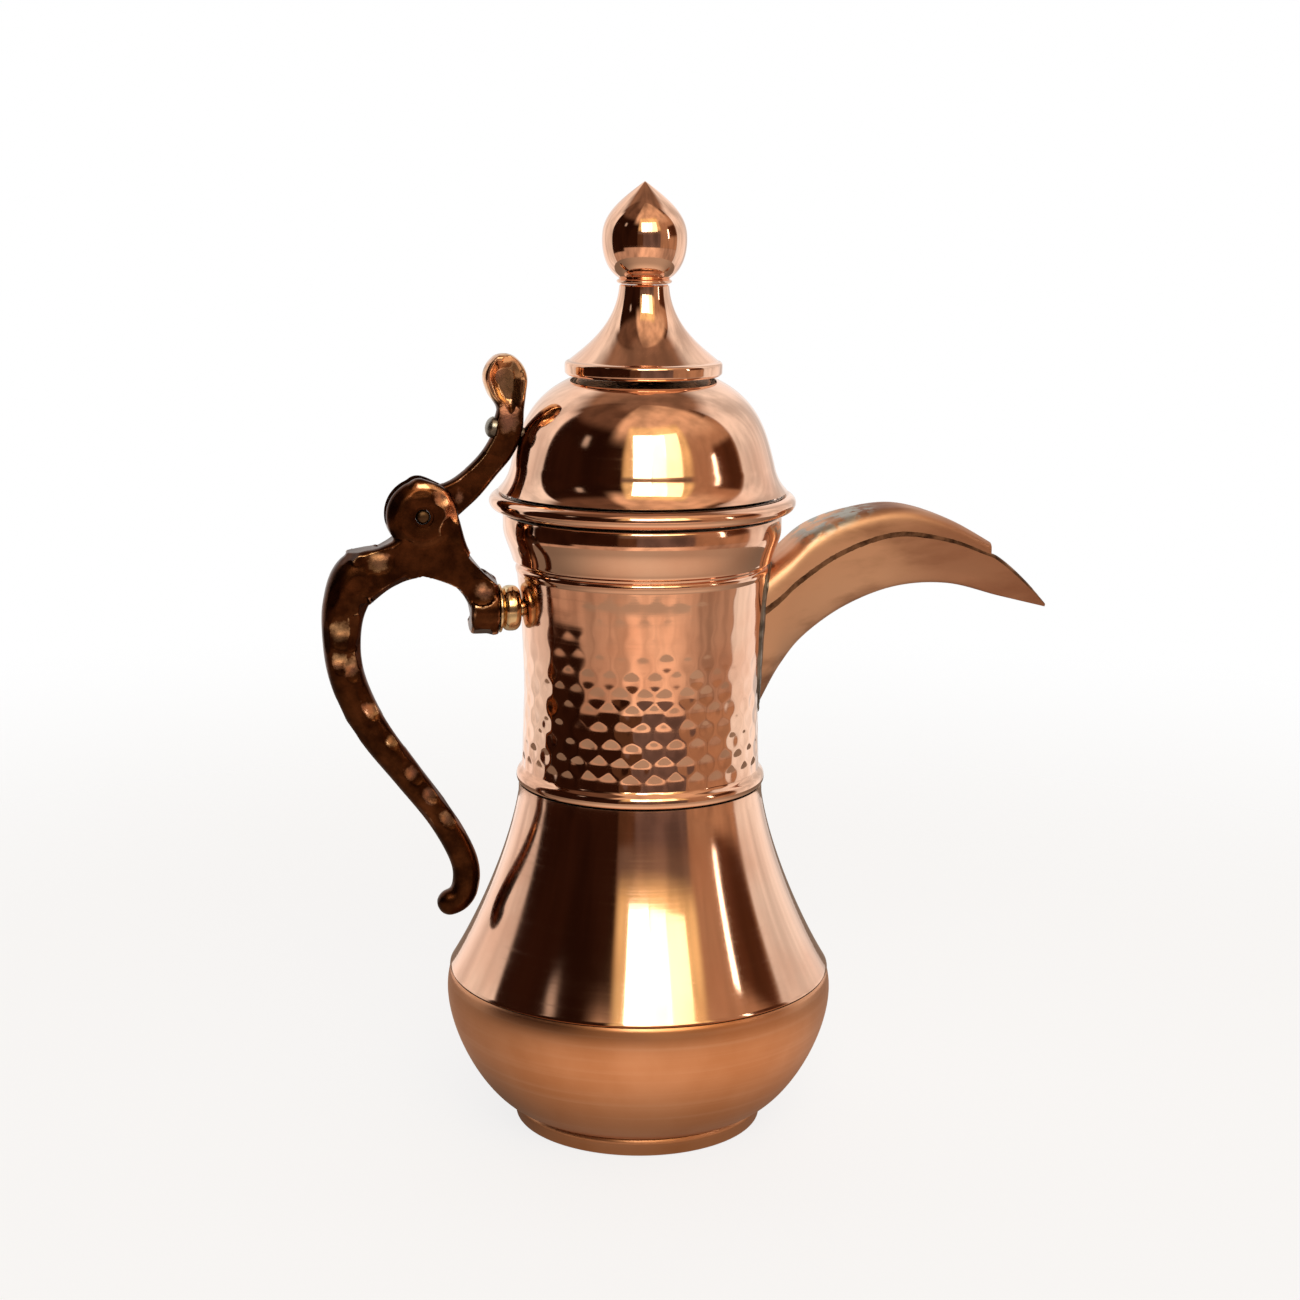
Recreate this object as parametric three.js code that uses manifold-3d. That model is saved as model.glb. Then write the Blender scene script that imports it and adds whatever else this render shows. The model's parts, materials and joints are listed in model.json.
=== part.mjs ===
// Dallah coffee pot: copper sheet body and lid, cast bronze handle with a clevis hinge for the lid.
// Millimetres, +Z up. The origin is the centre of the flat underside. The spout points along +X and
// the handle along -X. Profiles of revolution are lists of (radius, height) points.

import * as THREE from 'three';
import { mergeVertices } from 'three/addons/utils/BufferGeometryUtils.js';
import Module from 'manifold-3d';

const wasm = await Module();
wasm.setup();

// ---- driving dimensions ------------------------------------------------------------------------
const SHEET = 1.2; // copper sheet
const GAP = 0.3; // seam between two pieces that touch
const ROUND = 32; // facets round the large turned pieces
const SMALL_ROUND = 12; // facets round pins, studs and washers
const LEVEL_CUT = SHEET * 1.1; // width of a sloping sheet's edge where it is cut level

const FOOT = { radius: 37.8, topRadius: 38.6, height: 5.5, wall: 1.8 };
const PAN_HEIGHT = 9; // upturned rim of the bottom pan
const BELLY = { radius: 58.95, z: 41.5 }; // widest point of the bowl
const CREASE = { radius: 58.2, z: 47.7 }; // edge between bowl and cone
const WAIST = { radius: 37.0, z: 106.2 }; // top of the cone
const BEAD = { radius: 37.5, height: 4.0 }; // raised bead at the foot of the neck
const NECK = { foot: 36.0, narrow: 35.3, top: 37.5, narrowZ: 138, topZ: 172 };
const COLLAR = { foot: 38.6, footZ: 174.6, top: 41.5, topZ: 188.2 };

const RIM = { radius: 42.6, z: 191.6, roll: 3.0 }; // rolled edge of the lid
const SLEEVE = { radius: 37.6, bottom: 180, top: 192.6, wall: 1.0, lip: 1.5 };
const DOME = {
  footRadius: 42.9, footZ: 195.3, shoulderRadius: 38.9, shoulderZ: 203.5, topRadius: 20, topZ: 228.7,
};
const STEEPLE = { flange: 23.2, flangeZ: 229.1, edge: 22.2, edgeZ: 233.3, top: 7.3, topZ: 255.4 };
const FINIAL = { ring: 8.0, bulb: 12.4, bulbZ: 269.3, tipZ: 285, boreZ: 262 };
const FINIAL_STUD = { radius: 2.5, bottom: 236, top: 261.5 };
const FINIAL_NUT_Z = 238;

const PIN = { x: -66, z: 189, radius: 2.0, halfLength: 6.2 };
const OPEN_SLOT = 5.8; // width of the clevis slot
const HEAD_HALF = 6.8; // half thickness of the cast head of the handle
const LEVER_HALF = OPEN_SLOT / 2 - GAP - 0.1;
const LEAF_HALF = 3.4;
const LEAF_FOOT = 220; // where the arm widens into the thumb leaf
const EYE = 8.6; // radius of the lever's eye

const STUD = { z: 160.5, radius: 2.5, outer: -51, inner: -27.2 }; // stud that holds the handle to the neck
const SPACER = { radius: 6.8, inner: -37.2, outer: -42.4 };
const WASHER = { radius: 7.2, thickness: 0.8 };
const BACKING = { radius: 6.0, thickness: 1.4 };
const NUT = { radius: 4.6, thickness: 4 };

const SPOUT = { wall: 1.2, coverEnd: 108.5 };
const STRAINER = { rows: [2, 3, 2], radius: 2, spacing: 5.6, firstZ: 147, rise: 6 };

// ---- helpers -----------------------------------------------------------------------------------
const v2 = (r, z) => new THREE.Vector2(r, z);
const bezier = (a, b, c, d, steps) => new THREE.CubicBezierCurve(a, b, c, d).getPoints(steps);
const along = (points, steps) => new THREE.SplineCurve(points).getPoints(steps);

// Turns a (radius, height) outline about the Z axis. It closes on itself unless it starts on the axis.
function turned(outline, segments = ROUND) {
  const closed = outline[0].x === 0 ? outline : [...outline, outline[0]];
  return new THREE.LatheGeometry(closed, segments).rotateX(Math.PI / 2);
}

// Points one sheet inside an outer profile that runs from bottom to top.
function offsetProfile(outer, distance) {
  return outer.map((point, i) => {
    const before = outer[Math.max(i - 1, 0)];
    const after = outer[Math.min(i + 1, outer.length - 1)];
    const run = after.clone().sub(before).normalize();
    return v2(point.x - run.y * distance, point.y + run.x * distance);
  });
}

// A sheet of even thickness under an outer profile. A level edge is cut along the horizontal.
function sheetShell(outer, levelFoot = true, levelTop = true) {
  const inner = offsetProfile(outer, SHEET);
  const last = outer.length - 1;
  if (levelFoot) inner[0] = v2(outer[0].x - LEVEL_CUT, outer[0].y);
  if (levelTop) inner[last] = v2(outer[last].x - LEVEL_CUT, outer[last].y);
  return turned([...outer, ...inner.reverse()]);
}

function solid(geometry) {
  const plain = geometry.clone();
  plain.deleteAttribute('normal');
  plain.deleteAttribute('uv');
  const merged = mergeVertices(plain, 1e-4);
  const mesh = new wasm.Mesh({
    numProp: 3,
    vertProperties: merged.attributes.position.array,
    triVerts: Uint32Array.from(merged.index.array),
  });
  mesh.merge();
  return new wasm.Manifold(mesh);
}

// Geometry of the largest body in a solid: slivers that a cut leaves behind are dropped.
function geometryOf(manifold) {
  const bodies = manifold.decompose().sort((a, b) => b.volume() - a.volume());
  const mesh = bodies[0].getMesh();
  const geometry = new THREE.BufferGeometry();
  geometry.setAttribute('position', new THREE.BufferAttribute(mesh.vertProperties, 3));
  geometry.setIndex(new THREE.BufferAttribute(mesh.triVerts, 1));
  return geometry;
}

// Cylinder along X, Y or Z between two places on that axis.
function rod(axis, radius, from, to, centre, segments = SMALL_ROUND) {
  const geometry = new THREE.CylinderGeometry(radius, radius, to - from, segments);
  if (axis === 'x') geometry.rotateZ(Math.PI / 2);
  if (axis === 'z') geometry.rotateX(Math.PI / 2);
  const middle = (from + to) / 2;
  const [a, b] = centre;
  const places = { x: [middle, a, b], y: [a, middle, b], z: [a, b, middle] };
  return geometry.translate(...places[axis]);
}

// Upright plate: an outline of (x, z) points, spread evenly to both sides of the XZ plane.
function plate(outline, half, bevel = 0) {
  const geometry = new THREE.ExtrudeGeometry(new THREE.Shape(outline), {
    depth: 2 * (half - bevel),
    bevelEnabled: bevel > 0,
    bevelThickness: bevel,
    bevelSize: bevel,
    bevelOffset: -bevel,
    bevelSegments: 2,
    curveSegments: 1,
  });
  return geometry.translate(0, 0, -(half - bevel)).rotateX(Math.PI / 2);
}

function boxBetween(low, high) {
  const size = high.map((value, i) => value - low[i]);
  const middle = high.map((value, i) => (value + low[i]) / 2);
  return new THREE.BoxGeometry(...size).translate(...middle);
}

// Closed body through rings of points, each ring with the same number of points.
function loft(rings) {
  const count = rings[0].length;
  const positions = rings.flat().flatMap((point) => [point.x, point.y, point.z]);
  const index = [];
  for (let i = 0; i + 1 < rings.length; i += 1) {
    for (let j = 0; j < count; j += 1) {
      const a = i * count + j;
      const b = i * count + ((j + 1) % count);
      index.push(a, b, b + count, a, b + count, a + count);
    }
  }
  const last = (rings.length - 1) * count;
  for (let j = 1; j + 1 < count; j += 1) {
    index.push(0, j + 1, j, last, last + j, last + j + 1);
  }
  const geometry = new THREE.BufferGeometry();
  geometry.setAttribute('position', new THREE.Float32BufferAttribute(positions, 3));
  geometry.setIndex(index);
  return geometry;
}

// ---- body --------------------------------------------------------------------------------------
function bottomPan() {
  const radius = FOOT.radius - FOOT.wall - GAP;
  return turned([
    v2(0, 0),
    v2(radius - 0.6, 0),
    v2(radius, 0.6),
    v2(radius, PAN_HEIGHT),
    v2(radius - SHEET, PAN_HEIGHT),
    v2(radius - SHEET, SHEET),
    v2(0, SHEET),
  ]);
}

function footRing() {
  const inner = FOOT.radius - FOOT.wall;
  return turned([
    v2(inner, 0),
    v2(FOOT.radius - 0.5, 0),
    v2(FOOT.radius, 0.6),
    v2(FOOT.topRadius, FOOT.height - 1.2),
    v2(FOOT.topRadius - 0.6, FOOT.height),
    v2(inner, FOOT.height),
  ]);
}

function bowlShell() {
  const start = v2(FOOT.topRadius + 0.2, FOOT.height + GAP);
  const belly = v2(BELLY.radius, BELLY.z);
  const lower = bezier(start, v2(47.8, 8.6), v2(BELLY.radius, 28), belly, 6);
  return sheetShell([...lower, v2(CREASE.radius, CREASE.z)], false);
}

function coneShell() {
  const foot = v2(CREASE.radius, CREASE.z + GAP);
  const top = v2(WAIST.radius, WAIST.z - 3.2);
  return sheetShell([...bezier(foot, v2(52.3, 58), v2(40.2, 82.5), top, 5), v2(WAIST.radius, WAIST.z)]);
}

// Outer profile of the neck from its bead to the mouth.
function neckProfile() {
  const foot = WAIST.z + GAP;
  return [
    v2(BEAD.radius - 0.6, foot),
    v2(BEAD.radius, foot + BEAD.height * 0.45),
    v2(BEAD.radius - 0.5, foot + BEAD.height * 0.85),
    v2(NECK.foot, foot + BEAD.height + 0.4),
    ...along([v2(35.6, 123), v2(NECK.narrow, NECK.narrowZ), v2(36.2, 158), v2(NECK.top, NECK.topZ)], 4),
    v2(COLLAR.foot, COLLAR.footZ),
    v2(COLLAR.top, COLLAR.topZ - 2),
    v2(COLLAR.top, COLLAR.topZ),
  ];
}

// Strainer: rows of holes in the neck wall behind the spout.
function strainerHoles() {
  const holes = [];
  for (const [row, count] of STRAINER.rows.entries()) {
    for (let i = 0; i < count; i += 1) {
      const side = (i - (count - 1) / 2) * STRAINER.spacing;
      holes.push(rod('x', STRAINER.radius, 25, 42, [side, STRAINER.firstZ + row * STRAINER.rise], 6));
    }
  }
  return holes;
}

function neckShell() {
  let neck = solid(sheetShell(neckProfile()));
  for (const hole of strainerHoles()) neck = neck.subtract(solid(hole));
  const studHole = rod('x', STUD.radius + GAP, -45, -25, [0, STUD.z]);
  return geometryOf(neck.subtract(solid(studHole)));
}

// ---- spout -------------------------------------------------------------------------------------
// Side view of the spout: its ridge and its keel from the neck to the tip.
const ridge = new THREE.SplineCurve([
  v2(29, 165), v2(42, 175), v2(51.6, 182.9), v2(64, 187.3), v2(79, 188.9),
  v2(94, 184.6), v2(108.2, 177), v2(120.5, 169), v2(128.8, 158.4),
]);
const keel = new THREE.SplineCurve([
  v2(33, 121), v2(37, 130), v2(42.4, 139.9), v2(49.8, 149), v2(62.9, 158),
  v2(79, 163.7), v2(96, 164.2), v2(112.8, 159.8), v2(128.4, 155.9),
]);
// Half width of the spout at its widest level, from neck to tip.
const spoutWidth = new THREE.SplineCurve([
  v2(0, 11.6), v2(0.3, 10.8), v2(0.6, 9.4), v2(0.8, 7), v2(0.93, 3.6), v2(1, 0.35),
]);
// Cross-section: (share of the height above the keel, share of the half width).
const SPOUT_SECTION = [[0, 0.08], [0.1, 0.42], [0.3, 0.76], [0.6, 1], [0.85, 0.94], [0.97, 0.6], [1, 0]];

function spoutRing(share, grow) {
  const top = ridge.getPoint(share);
  const bottom = keel.getPoint(share);
  const up = top.clone().sub(bottom);
  const height = Math.max(up.length(), 0.5);
  up.normalize();
  const half = Math.max(spoutWidth.getPoint(share).y + grow, 0.1);
  const side = SPOUT_SECTION.map(([level, width]) => {
    const lift = level * (height + 2 * grow) - grow;
    return new THREE.Vector3(bottom.x + up.x * lift, width * half, bottom.y + up.y * lift);
  });
  const mirrored = side.slice(0, -1).reverse().map((point) => new THREE.Vector3(point.x, -point.y, point.z));
  return [...side, ...mirrored];
}

function spoutBody(grow, from = 0, to = 1, stations = 12) {
  const rings = [];
  for (let i = 0; i <= stations; i += 1) rings.push(spoutRing(from + ((to - from) * i) / stations, grow));
  return solid(loft(rings));
}

// Upright slab over or under the lap seam that runs along both sides of the spout.
function seamSlab(shift, levelBeyond) {
  const seam = [
    v2(20, 150), v2(38, 162), v2(46, 168.6), v2(60, 177), v2(77, 181.6), v2(94, 179), v2(106.7, 174.2),
    v2(112, 171.6),
  ];
  const line = along(seam.map((point) => v2(point.x, point.y + shift)), 16);
  const beyondTip = v2(150, line[line.length - 1].y - 12);
  return solid(plate([...line, beyondTip, v2(beyondTip.x, levelBeyond), v2(seam[0].x, levelBeyond)], 20));
}

function neckCylinder(extra) {
  const side = neckProfile().map((point) => v2(point.x + extra, point.y));
  return solid(turned([v2(0, side[0].y), ...side, v2(0, COLLAR.topZ)]));
}

function spoutParts() {
  const channel = spoutBody(-SPOUT.wall, 0, 0.95);
  const sheet = spoutBody(0).subtract(channel).subtract(neckCylinder(GAP));
  const lipSlope = [v2(109, 190), v2(109, 173.9), v2(114, 170.6), v2(120, 165), v2(128.4, 156.5), v2(140, 190)];
  const mouth = solid(plate(lipSlope, 20));
  const trough = sheet.intersect(seamSlab(-GAP / 2, 100)).subtract(mouth);
  const behindMouth = solid(boxBetween([20, -20, 100], [SPOUT.coverEnd, 20, 200]));
  const cover = sheet.intersect(seamSlab(GAP / 2, 210)).intersect(behindMouth);
  const band = spoutBody(2.2, 0, 0.45).subtract(spoutBody(GAP, 0, 0.45));
  const solder = band.intersect(neckCylinder(3)).subtract(neckCylinder(GAP));
  return { trough: geometryOf(trough), cover: geometryOf(cover), solder: geometryOf(solder) };
}

// ---- handle ------------------------------------------------------------------------------------
// Grip: centre line (x, z) with the half width in the side view, from the head to the curled tail.
const GRIP = [
  [-78, 173.5, 6.5], [-84.5, 171, 7.4], [-88.6, 163, 6.4], [-89.7, 153, 5.8], [-88.6, 142.5, 5.3],
  [-84.6, 131.5, 5.2], [-79, 122, 4.9], [-70.5, 110.3, 4.4], [-61, 97.2, 4.1], [-54.6, 85, 4.1],
  [-53.5, 77, 4.1], [-56, 71.6, 4], [-62.8, 69.4, 3.8],
];
const GRIP_THICKNESS = 0.82; // half thickness over half width
const GRIP_STATIONS = 20;
const GRIP_FACETS = 8;

function gripLoft() {
  const centre = new THREE.SplineCurve(GRIP.map(([x, z]) => v2(x, z)));
  const width = new THREE.SplineCurve(GRIP.map(([, , half], i) => v2(i, half)));
  const rings = [];
  for (let i = 0; i <= GRIP_STATIONS; i += 1) {
    const share = i / GRIP_STATIONS;
    const point = centre.getPoint(share);
    const run = centre.getTangent(share);
    const endRound = i === GRIP_STATIONS ? 0.6 : 1;
    const half = width.getPoint(share).y * endRound;
    const ring = [];
    for (let j = 0; j < GRIP_FACETS; j += 1) {
      const turn = (-2 * Math.PI * j) / GRIP_FACETS;
      const across = half * Math.cos(turn);
      const out = half * GRIP_THICKNESS * Math.sin(turn);
      ring.push(new THREE.Vector3(point.x - run.y * across, out, point.y + run.x * across));
    }
    rings.push(ring);
  }
  return solid(loft(rings));
}

function headOutline() {
  const upper = along([
    v2(-85.8, 177.8), v2(-78.4, 179.5), v2(-73.2, 183.6), v2(-73.4, 191), v2(-70, 198.6), v2(-65.6, 200),
    v2(-60.2, 196.8), v2(-55.9, 190), v2(-52.8, 179.6), v2(-48.2, 172.8), v2(-43.6, 168.8),
  ], 20);
  const lower = along([
    v2(-43.6, 153.6), v2(-47.2, 154), v2(-50.9, 160), v2(-55.6, 167.8), v2(-65.6, 171.8), v2(-74.4, 169.2),
    v2(-80, 166),
  ], 12);
  return [...upper, ...lower];
}

function handleBody() {
  const head = solid(plate(headOutline(), HEAD_HALF, 0.6));
  const slot = solid(boxBetween([-82, -OPEN_SLOT / 2, PIN.z - 2.5], [-48, OPEN_SLOT / 2, PIN.z + 20]));
  const eyeRoom = solid(rod('y', EYE + 0.7, -OPEN_SLOT / 2, OPEN_SLOT / 2, [PIN.x, PIN.z], 20));
  const pinHole = solid(rod('y', PIN.radius + GAP, -12, 12, [PIN.x, PIN.z]));
  const studHole = solid(rod('x', STUD.radius + GAP, STUD.outer - GAP, -40, [0, STUD.z]));
  let body = head.add(gripLoft());
  for (const cut of [slot, eyeRoom, pinHole, studHole]) body = body.subtract(cut);
  return geometryOf(body);
}

function holedDisc(axis, radius, hole, from, to, centre, segments = SMALL_ROUND) {
  const disc = solid(rod(axis, radius, from, to, centre, segments));
  return geometryOf(disc.subtract(solid(rod(axis, hole, from - 1, to + 1, centre))));
}

// Bulged spacer between the neck and the foot of the handle.
function spacer() {
  const length = SPACER.inner - SPACER.outer;
  const hole = STUD.radius + GAP;
  const drum = [[1.1, 0], [0.2, 0.25], [0, 0.5], [0.2, 0.75], [1.1, 1]];
  const side = drum.map(([inset, share]) => v2(SPACER.radius - inset, share * length));
  const profile = [v2(hole, 0), ...side, v2(hole, length)];
  return turned(profile, 16).rotateY(Math.PI / 2).translate(SPACER.outer, 0, STUD.z);
}

// ---- lid ---------------------------------------------------------------------------------------
function domeProfile() {
  const foot = v2(DOME.footRadius, DOME.footZ);
  const shoulder = v2(DOME.shoulderRadius, DOME.shoulderZ);
  const flare = new THREE.QuadraticBezierCurve(foot, v2(39.8, 198.4), shoulder).getPoints(2);
  const crown = bezier(shoulder, v2(36.6, 212), v2(34.5, 222.8), v2(DOME.topRadius, DOME.topZ), 5);
  return [...flare, ...crown.slice(1)];
}

// Axis of the rivet that holds the lever: it stands square to the side of the dome.
const RIVET = { x: -39.6, z: 213.2, radius: 1.6, tilt: 0.2 };

// Lays a piece made along +Z on the rivet's axis, with +Z pointing away from the lid.
function placedOnRivet(geometry) {
  return geometry.rotateY(RIVET.tilt - Math.PI / 2).translate(RIVET.x, 0, RIVET.z);
}

function rivetHole() {
  return solid(placedOnRivet(rod('z', RIVET.radius + GAP, -15, 15, [0, 0])));
}

function lidDome() {
  return geometryOf(solid(sheetShell(domeProfile(), true, false)).subtract(rivetHole()));
}

function lidRim() {
  const ring = new THREE.Path().absarc(RIM.radius, RIM.z, RIM.roll, 0, 2 * Math.PI).getSpacedPoints(8);
  return turned(ring.slice(0, -1));
}

function lidSleeve() {
  const inner = SLEEVE.radius - SLEEVE.wall;
  return turned([
    v2(inner, SLEEVE.bottom),
    v2(SLEEVE.radius, SLEEVE.bottom),
    v2(SLEEVE.radius, SLEEVE.top - SLEEVE.wall),
    v2(SLEEVE.radius + SLEEVE.lip, SLEEVE.top - SLEEVE.wall),
    v2(SLEEVE.radius + SLEEVE.lip, SLEEVE.top),
    v2(inner, SLEEVE.top),
  ]);
}

function steeple() {
  const edge = v2(STEEPLE.edge, STEEPLE.edgeZ);
  const top = v2(STEEPLE.top, STEEPLE.topZ);
  const outer = [
    v2(STEEPLE.flange - 0.6, STEEPLE.flangeZ),
    v2(STEEPLE.flange, STEEPLE.flangeZ + 0.6),
    v2(STEEPLE.flange, STEEPLE.edgeZ - 0.7),
    ...bezier(edge, v2(17.3, 237.2), v2(8.2, 243.4), top, 5),
  ];
  const hole = FINIAL_STUD.radius + GAP;
  const inner = offsetProfile(outer.slice(1), SHEET);
  const neckZ = STEEPLE.topZ - SHEET;
  const under = inner.filter((point) => point.y < neckZ - 0.5);
  const seat = [v2(hole, STEEPLE.topZ), v2(hole, neckZ), v2(STEEPLE.top - SHEET, neckZ)];
  return turned([...outer, ...seat, ...under.reverse()]);
}

function finial() {
  const seat = STEEPLE.topZ + GAP;
  const widest = v2(FINIAL.bulb, FINIAL.bulbZ);
  const hole = FINIAL_STUD.radius + GAP;
  const lower = bezier(v2(FINIAL.ring - 0.5, seat + 1.6), v2(11.8, 259.8), v2(12.6, 265.5), widest, 5);
  const upper = bezier(widest, v2(12.2, 275.5), v2(8.2, 280), v2(0, FINIAL.tipZ), 7);
  const bore = [v2(0, FINIAL.boreZ + 1), v2(hole, FINIAL.boreZ), v2(hole, seat)];
  const ring = [v2(FINIAL.ring, seat), v2(FINIAL.ring, seat + 1.2)];
  return turned([...bore, ...ring, ...lower, ...upper.slice(1)], 24);
}

function finialStud() {
  return rod('z', FINIAL_STUD.radius, FINIAL_STUD.bottom, FINIAL_STUD.top, [0, 0]);
}

function leverOutline() {
  const back = along([
    v2(-63, 197.6), v2(-55.6, 200.1), v2(-49.2, 205.9), v2(-45.2, 211.7), v2(-43.8, 219.4), v2(-47.6, 227.4),
    v2(-45.4, 234), v2(-41.2, 235.8), v2(-36.4, 233), v2(-34.5, 227.2), v2(-36.2, 219.6),
  ], 20);
  const front = along([
    v2(-34, 214.5), v2(-37, 209.4), v2(-41.2, 205.7), v2(-44.6, 199.9), v2(-49, 194), v2(-58, 186.5),
  ], 9);
  return [...back, ...front];
}

function lidLever() {
  const arm = solid(plate(leverOutline(), LEVER_HALF));
  const eye = solid(rod('y', EYE, -LEVER_HALF, LEVER_HALF, [PIN.x, PIN.z], 20));
  const pinHole = solid(rod('y', PIN.radius + GAP, -12, 12, [PIN.x, PIN.z]));
  const leafRoom = solid(boxBetween([-60, -10, LEAF_FOOT], [-20, 10, LEAF_FOOT + 20]));
  const leaf = solid(plate(leverOutline(), LEAF_HALF, 1)).intersect(leafRoom);
  const side = domeProfile().map((point) => v2(point.x + GAP, point.y));
  const dome = solid(turned([v2(0, DOME.footZ), ...side, v2(0, DOME.topZ)]));
  let body = arm.add(eye).add(leaf);
  for (const cut of [dome, pinHole, rivetHole()]) body = body.subtract(cut);
  return geometryOf(body);
}

// Round-headed rivet: head behind the lever, tail through the dome and its burr.
function lidRivet() {
  const r = RIVET.radius;
  const headTop = 7.6;
  const headFoot = 6.0;
  const tail = -8.4;
  const head = [v2(3.2, headFoot), v2(2.6, headTop - 0.4), v2(1.2, headTop), v2(0, headTop)];
  return placedOnRivet(turned([v2(0, tail), v2(r, tail), v2(r, headFoot), ...head], SMALL_ROUND));
}

function rivetBurr() {
  const hole = RIVET.radius + GAP;
  const profile = [v2(hole, -7.6), v2(4, -7.6), v2(4, -6.6), v2(hole, -6.6)];
  return placedOnRivet(turned(profile, SMALL_ROUND));
}

// ---- assembly ----------------------------------------------------------------------------------
const FINISHES = {
  polished: { color: 0xc9805a, roughness: 0.12, metalness: 1 },
  satin: { color: 0xb8733f, roughness: 0.38, metalness: 1 },
  bronze: { color: 0x5a3c1e, roughness: 0.4, metalness: 1 },
  brass: { color: 0xb58a45, roughness: 0.2, metalness: 1 },
  tin: { color: 0x8f8f88, roughness: 0.5, metalness: 1 },
};

const pot = new THREE.Group();

function piece(name, geometry, finish) {
  const mesh = new THREE.Mesh(geometry, new THREE.MeshStandardMaterial(FINISHES[finish]));
  mesh.name = name;
  pot.add(mesh);
}

piece('bottom_pan', bottomPan(), 'tin');
piece('foot_ring', footRing(), 'satin');
piece('bowl_shell', bowlShell(), 'satin');
piece('cone_shell', coneShell(), 'polished');
piece('neck_shell', neckShell(), 'polished');

const spout = spoutParts();
piece('spout_trough', spout.trough, 'satin');
piece('spout_cover', spout.cover, 'satin');
piece('spout_solder', spout.solder, 'tin');

const stud = [0, STUD.z];
const holeRadius = STUD.radius + GAP;
const washerOuter = SPACER.outer - GAP;
const backingInner = -(NECK.foot - SHEET) + 0.9;
const nutInner = backingInner + BACKING.thickness + GAP;
piece('handle', handleBody(), 'bronze');
piece('handle_stud', rod('x', STUD.radius, STUD.outer, STUD.inner, stud), 'brass');
piece('handle_spacer', spacer(), 'brass');
const nutOuter = nutInner + NUT.thickness;
piece('handle_washer', holedDisc('x', WASHER.radius, holeRadius, washerOuter - WASHER.thickness, washerOuter,
  stud), 'tin');
piece('backing_washer', holedDisc('x', BACKING.radius, holeRadius, backingInner, nutInner - GAP, stud), 'tin');
piece('handle_nut', holedDisc('x', NUT.radius, holeRadius, nutInner, nutOuter, stud, 6), 'brass');
piece('hinge_pin', rod('y', PIN.radius, -PIN.halfLength, PIN.halfLength, [PIN.x, PIN.z]), 'bronze');

piece('lid_dome', lidDome(), 'polished');
piece('lid_rim', lidRim(), 'polished');
piece('lid_sleeve', lidSleeve(), 'tin');
piece('lid_steeple', steeple(), 'polished');
piece('lid_finial', finial(), 'polished');
piece('finial_stud', finialStud(), 'brass');
piece('finial_nut', holedDisc('z', NUT.radius, FINIAL_STUD.radius + GAP, FINIAL_NUT_Z, FINIAL_NUT_Z + NUT.thickness,
  [0, 0], 6), 'brass');
piece('lid_lever', lidLever(), 'bronze');
piece('lever_rivet', lidRivet(), 'tin');
piece('rivet_burr', rivetBurr(), 'tin');

export default pot;
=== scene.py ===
"""Looks of the dallah coffee pot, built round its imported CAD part.

Shapes are worked out in millimetres in the part's own frame, with Z up, the spout along +X and the
handle along -X, and turned into metres when a mesh is made. Sizes come from the boxes of the CAD nodes.
"""

import json
import math

import bmesh
import bpy
import numpy as np
from mathutils import Matrix, Vector

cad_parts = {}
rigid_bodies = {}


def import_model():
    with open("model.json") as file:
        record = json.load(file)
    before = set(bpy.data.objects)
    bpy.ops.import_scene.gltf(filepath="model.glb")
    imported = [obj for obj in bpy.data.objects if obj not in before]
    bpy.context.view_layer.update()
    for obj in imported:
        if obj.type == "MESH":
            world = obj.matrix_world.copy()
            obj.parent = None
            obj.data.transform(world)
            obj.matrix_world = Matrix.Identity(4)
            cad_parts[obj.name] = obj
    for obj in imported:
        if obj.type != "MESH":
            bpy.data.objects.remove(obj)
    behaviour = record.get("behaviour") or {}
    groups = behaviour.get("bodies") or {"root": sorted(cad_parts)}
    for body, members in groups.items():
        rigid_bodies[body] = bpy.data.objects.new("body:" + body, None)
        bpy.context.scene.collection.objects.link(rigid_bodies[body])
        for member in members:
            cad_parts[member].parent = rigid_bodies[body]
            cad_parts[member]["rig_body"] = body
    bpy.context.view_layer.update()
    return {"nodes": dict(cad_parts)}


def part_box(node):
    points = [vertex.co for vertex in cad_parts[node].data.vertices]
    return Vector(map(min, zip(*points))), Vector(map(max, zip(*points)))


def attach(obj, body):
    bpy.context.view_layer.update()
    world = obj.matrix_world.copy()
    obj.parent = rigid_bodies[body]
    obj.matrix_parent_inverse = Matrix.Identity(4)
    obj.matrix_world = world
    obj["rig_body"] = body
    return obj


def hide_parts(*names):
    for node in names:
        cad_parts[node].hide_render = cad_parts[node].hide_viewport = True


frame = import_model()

MM = 0.001
UP = np.array([0.0, 0.0, 1.0])

# ---- sizes, in millimetres


def low(node):
    return np.array(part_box(node)[0]) / MM


def high(node):
    return np.array(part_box(node)[1]) / MM


def ends(node, axis):
    return low(node)[axis], high(node)[axis]


SHEET = 1.2  # copper sheet
ROUND = 192  # facets round the large turned pieces
FINE = 64  # facets round the small ones

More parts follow.
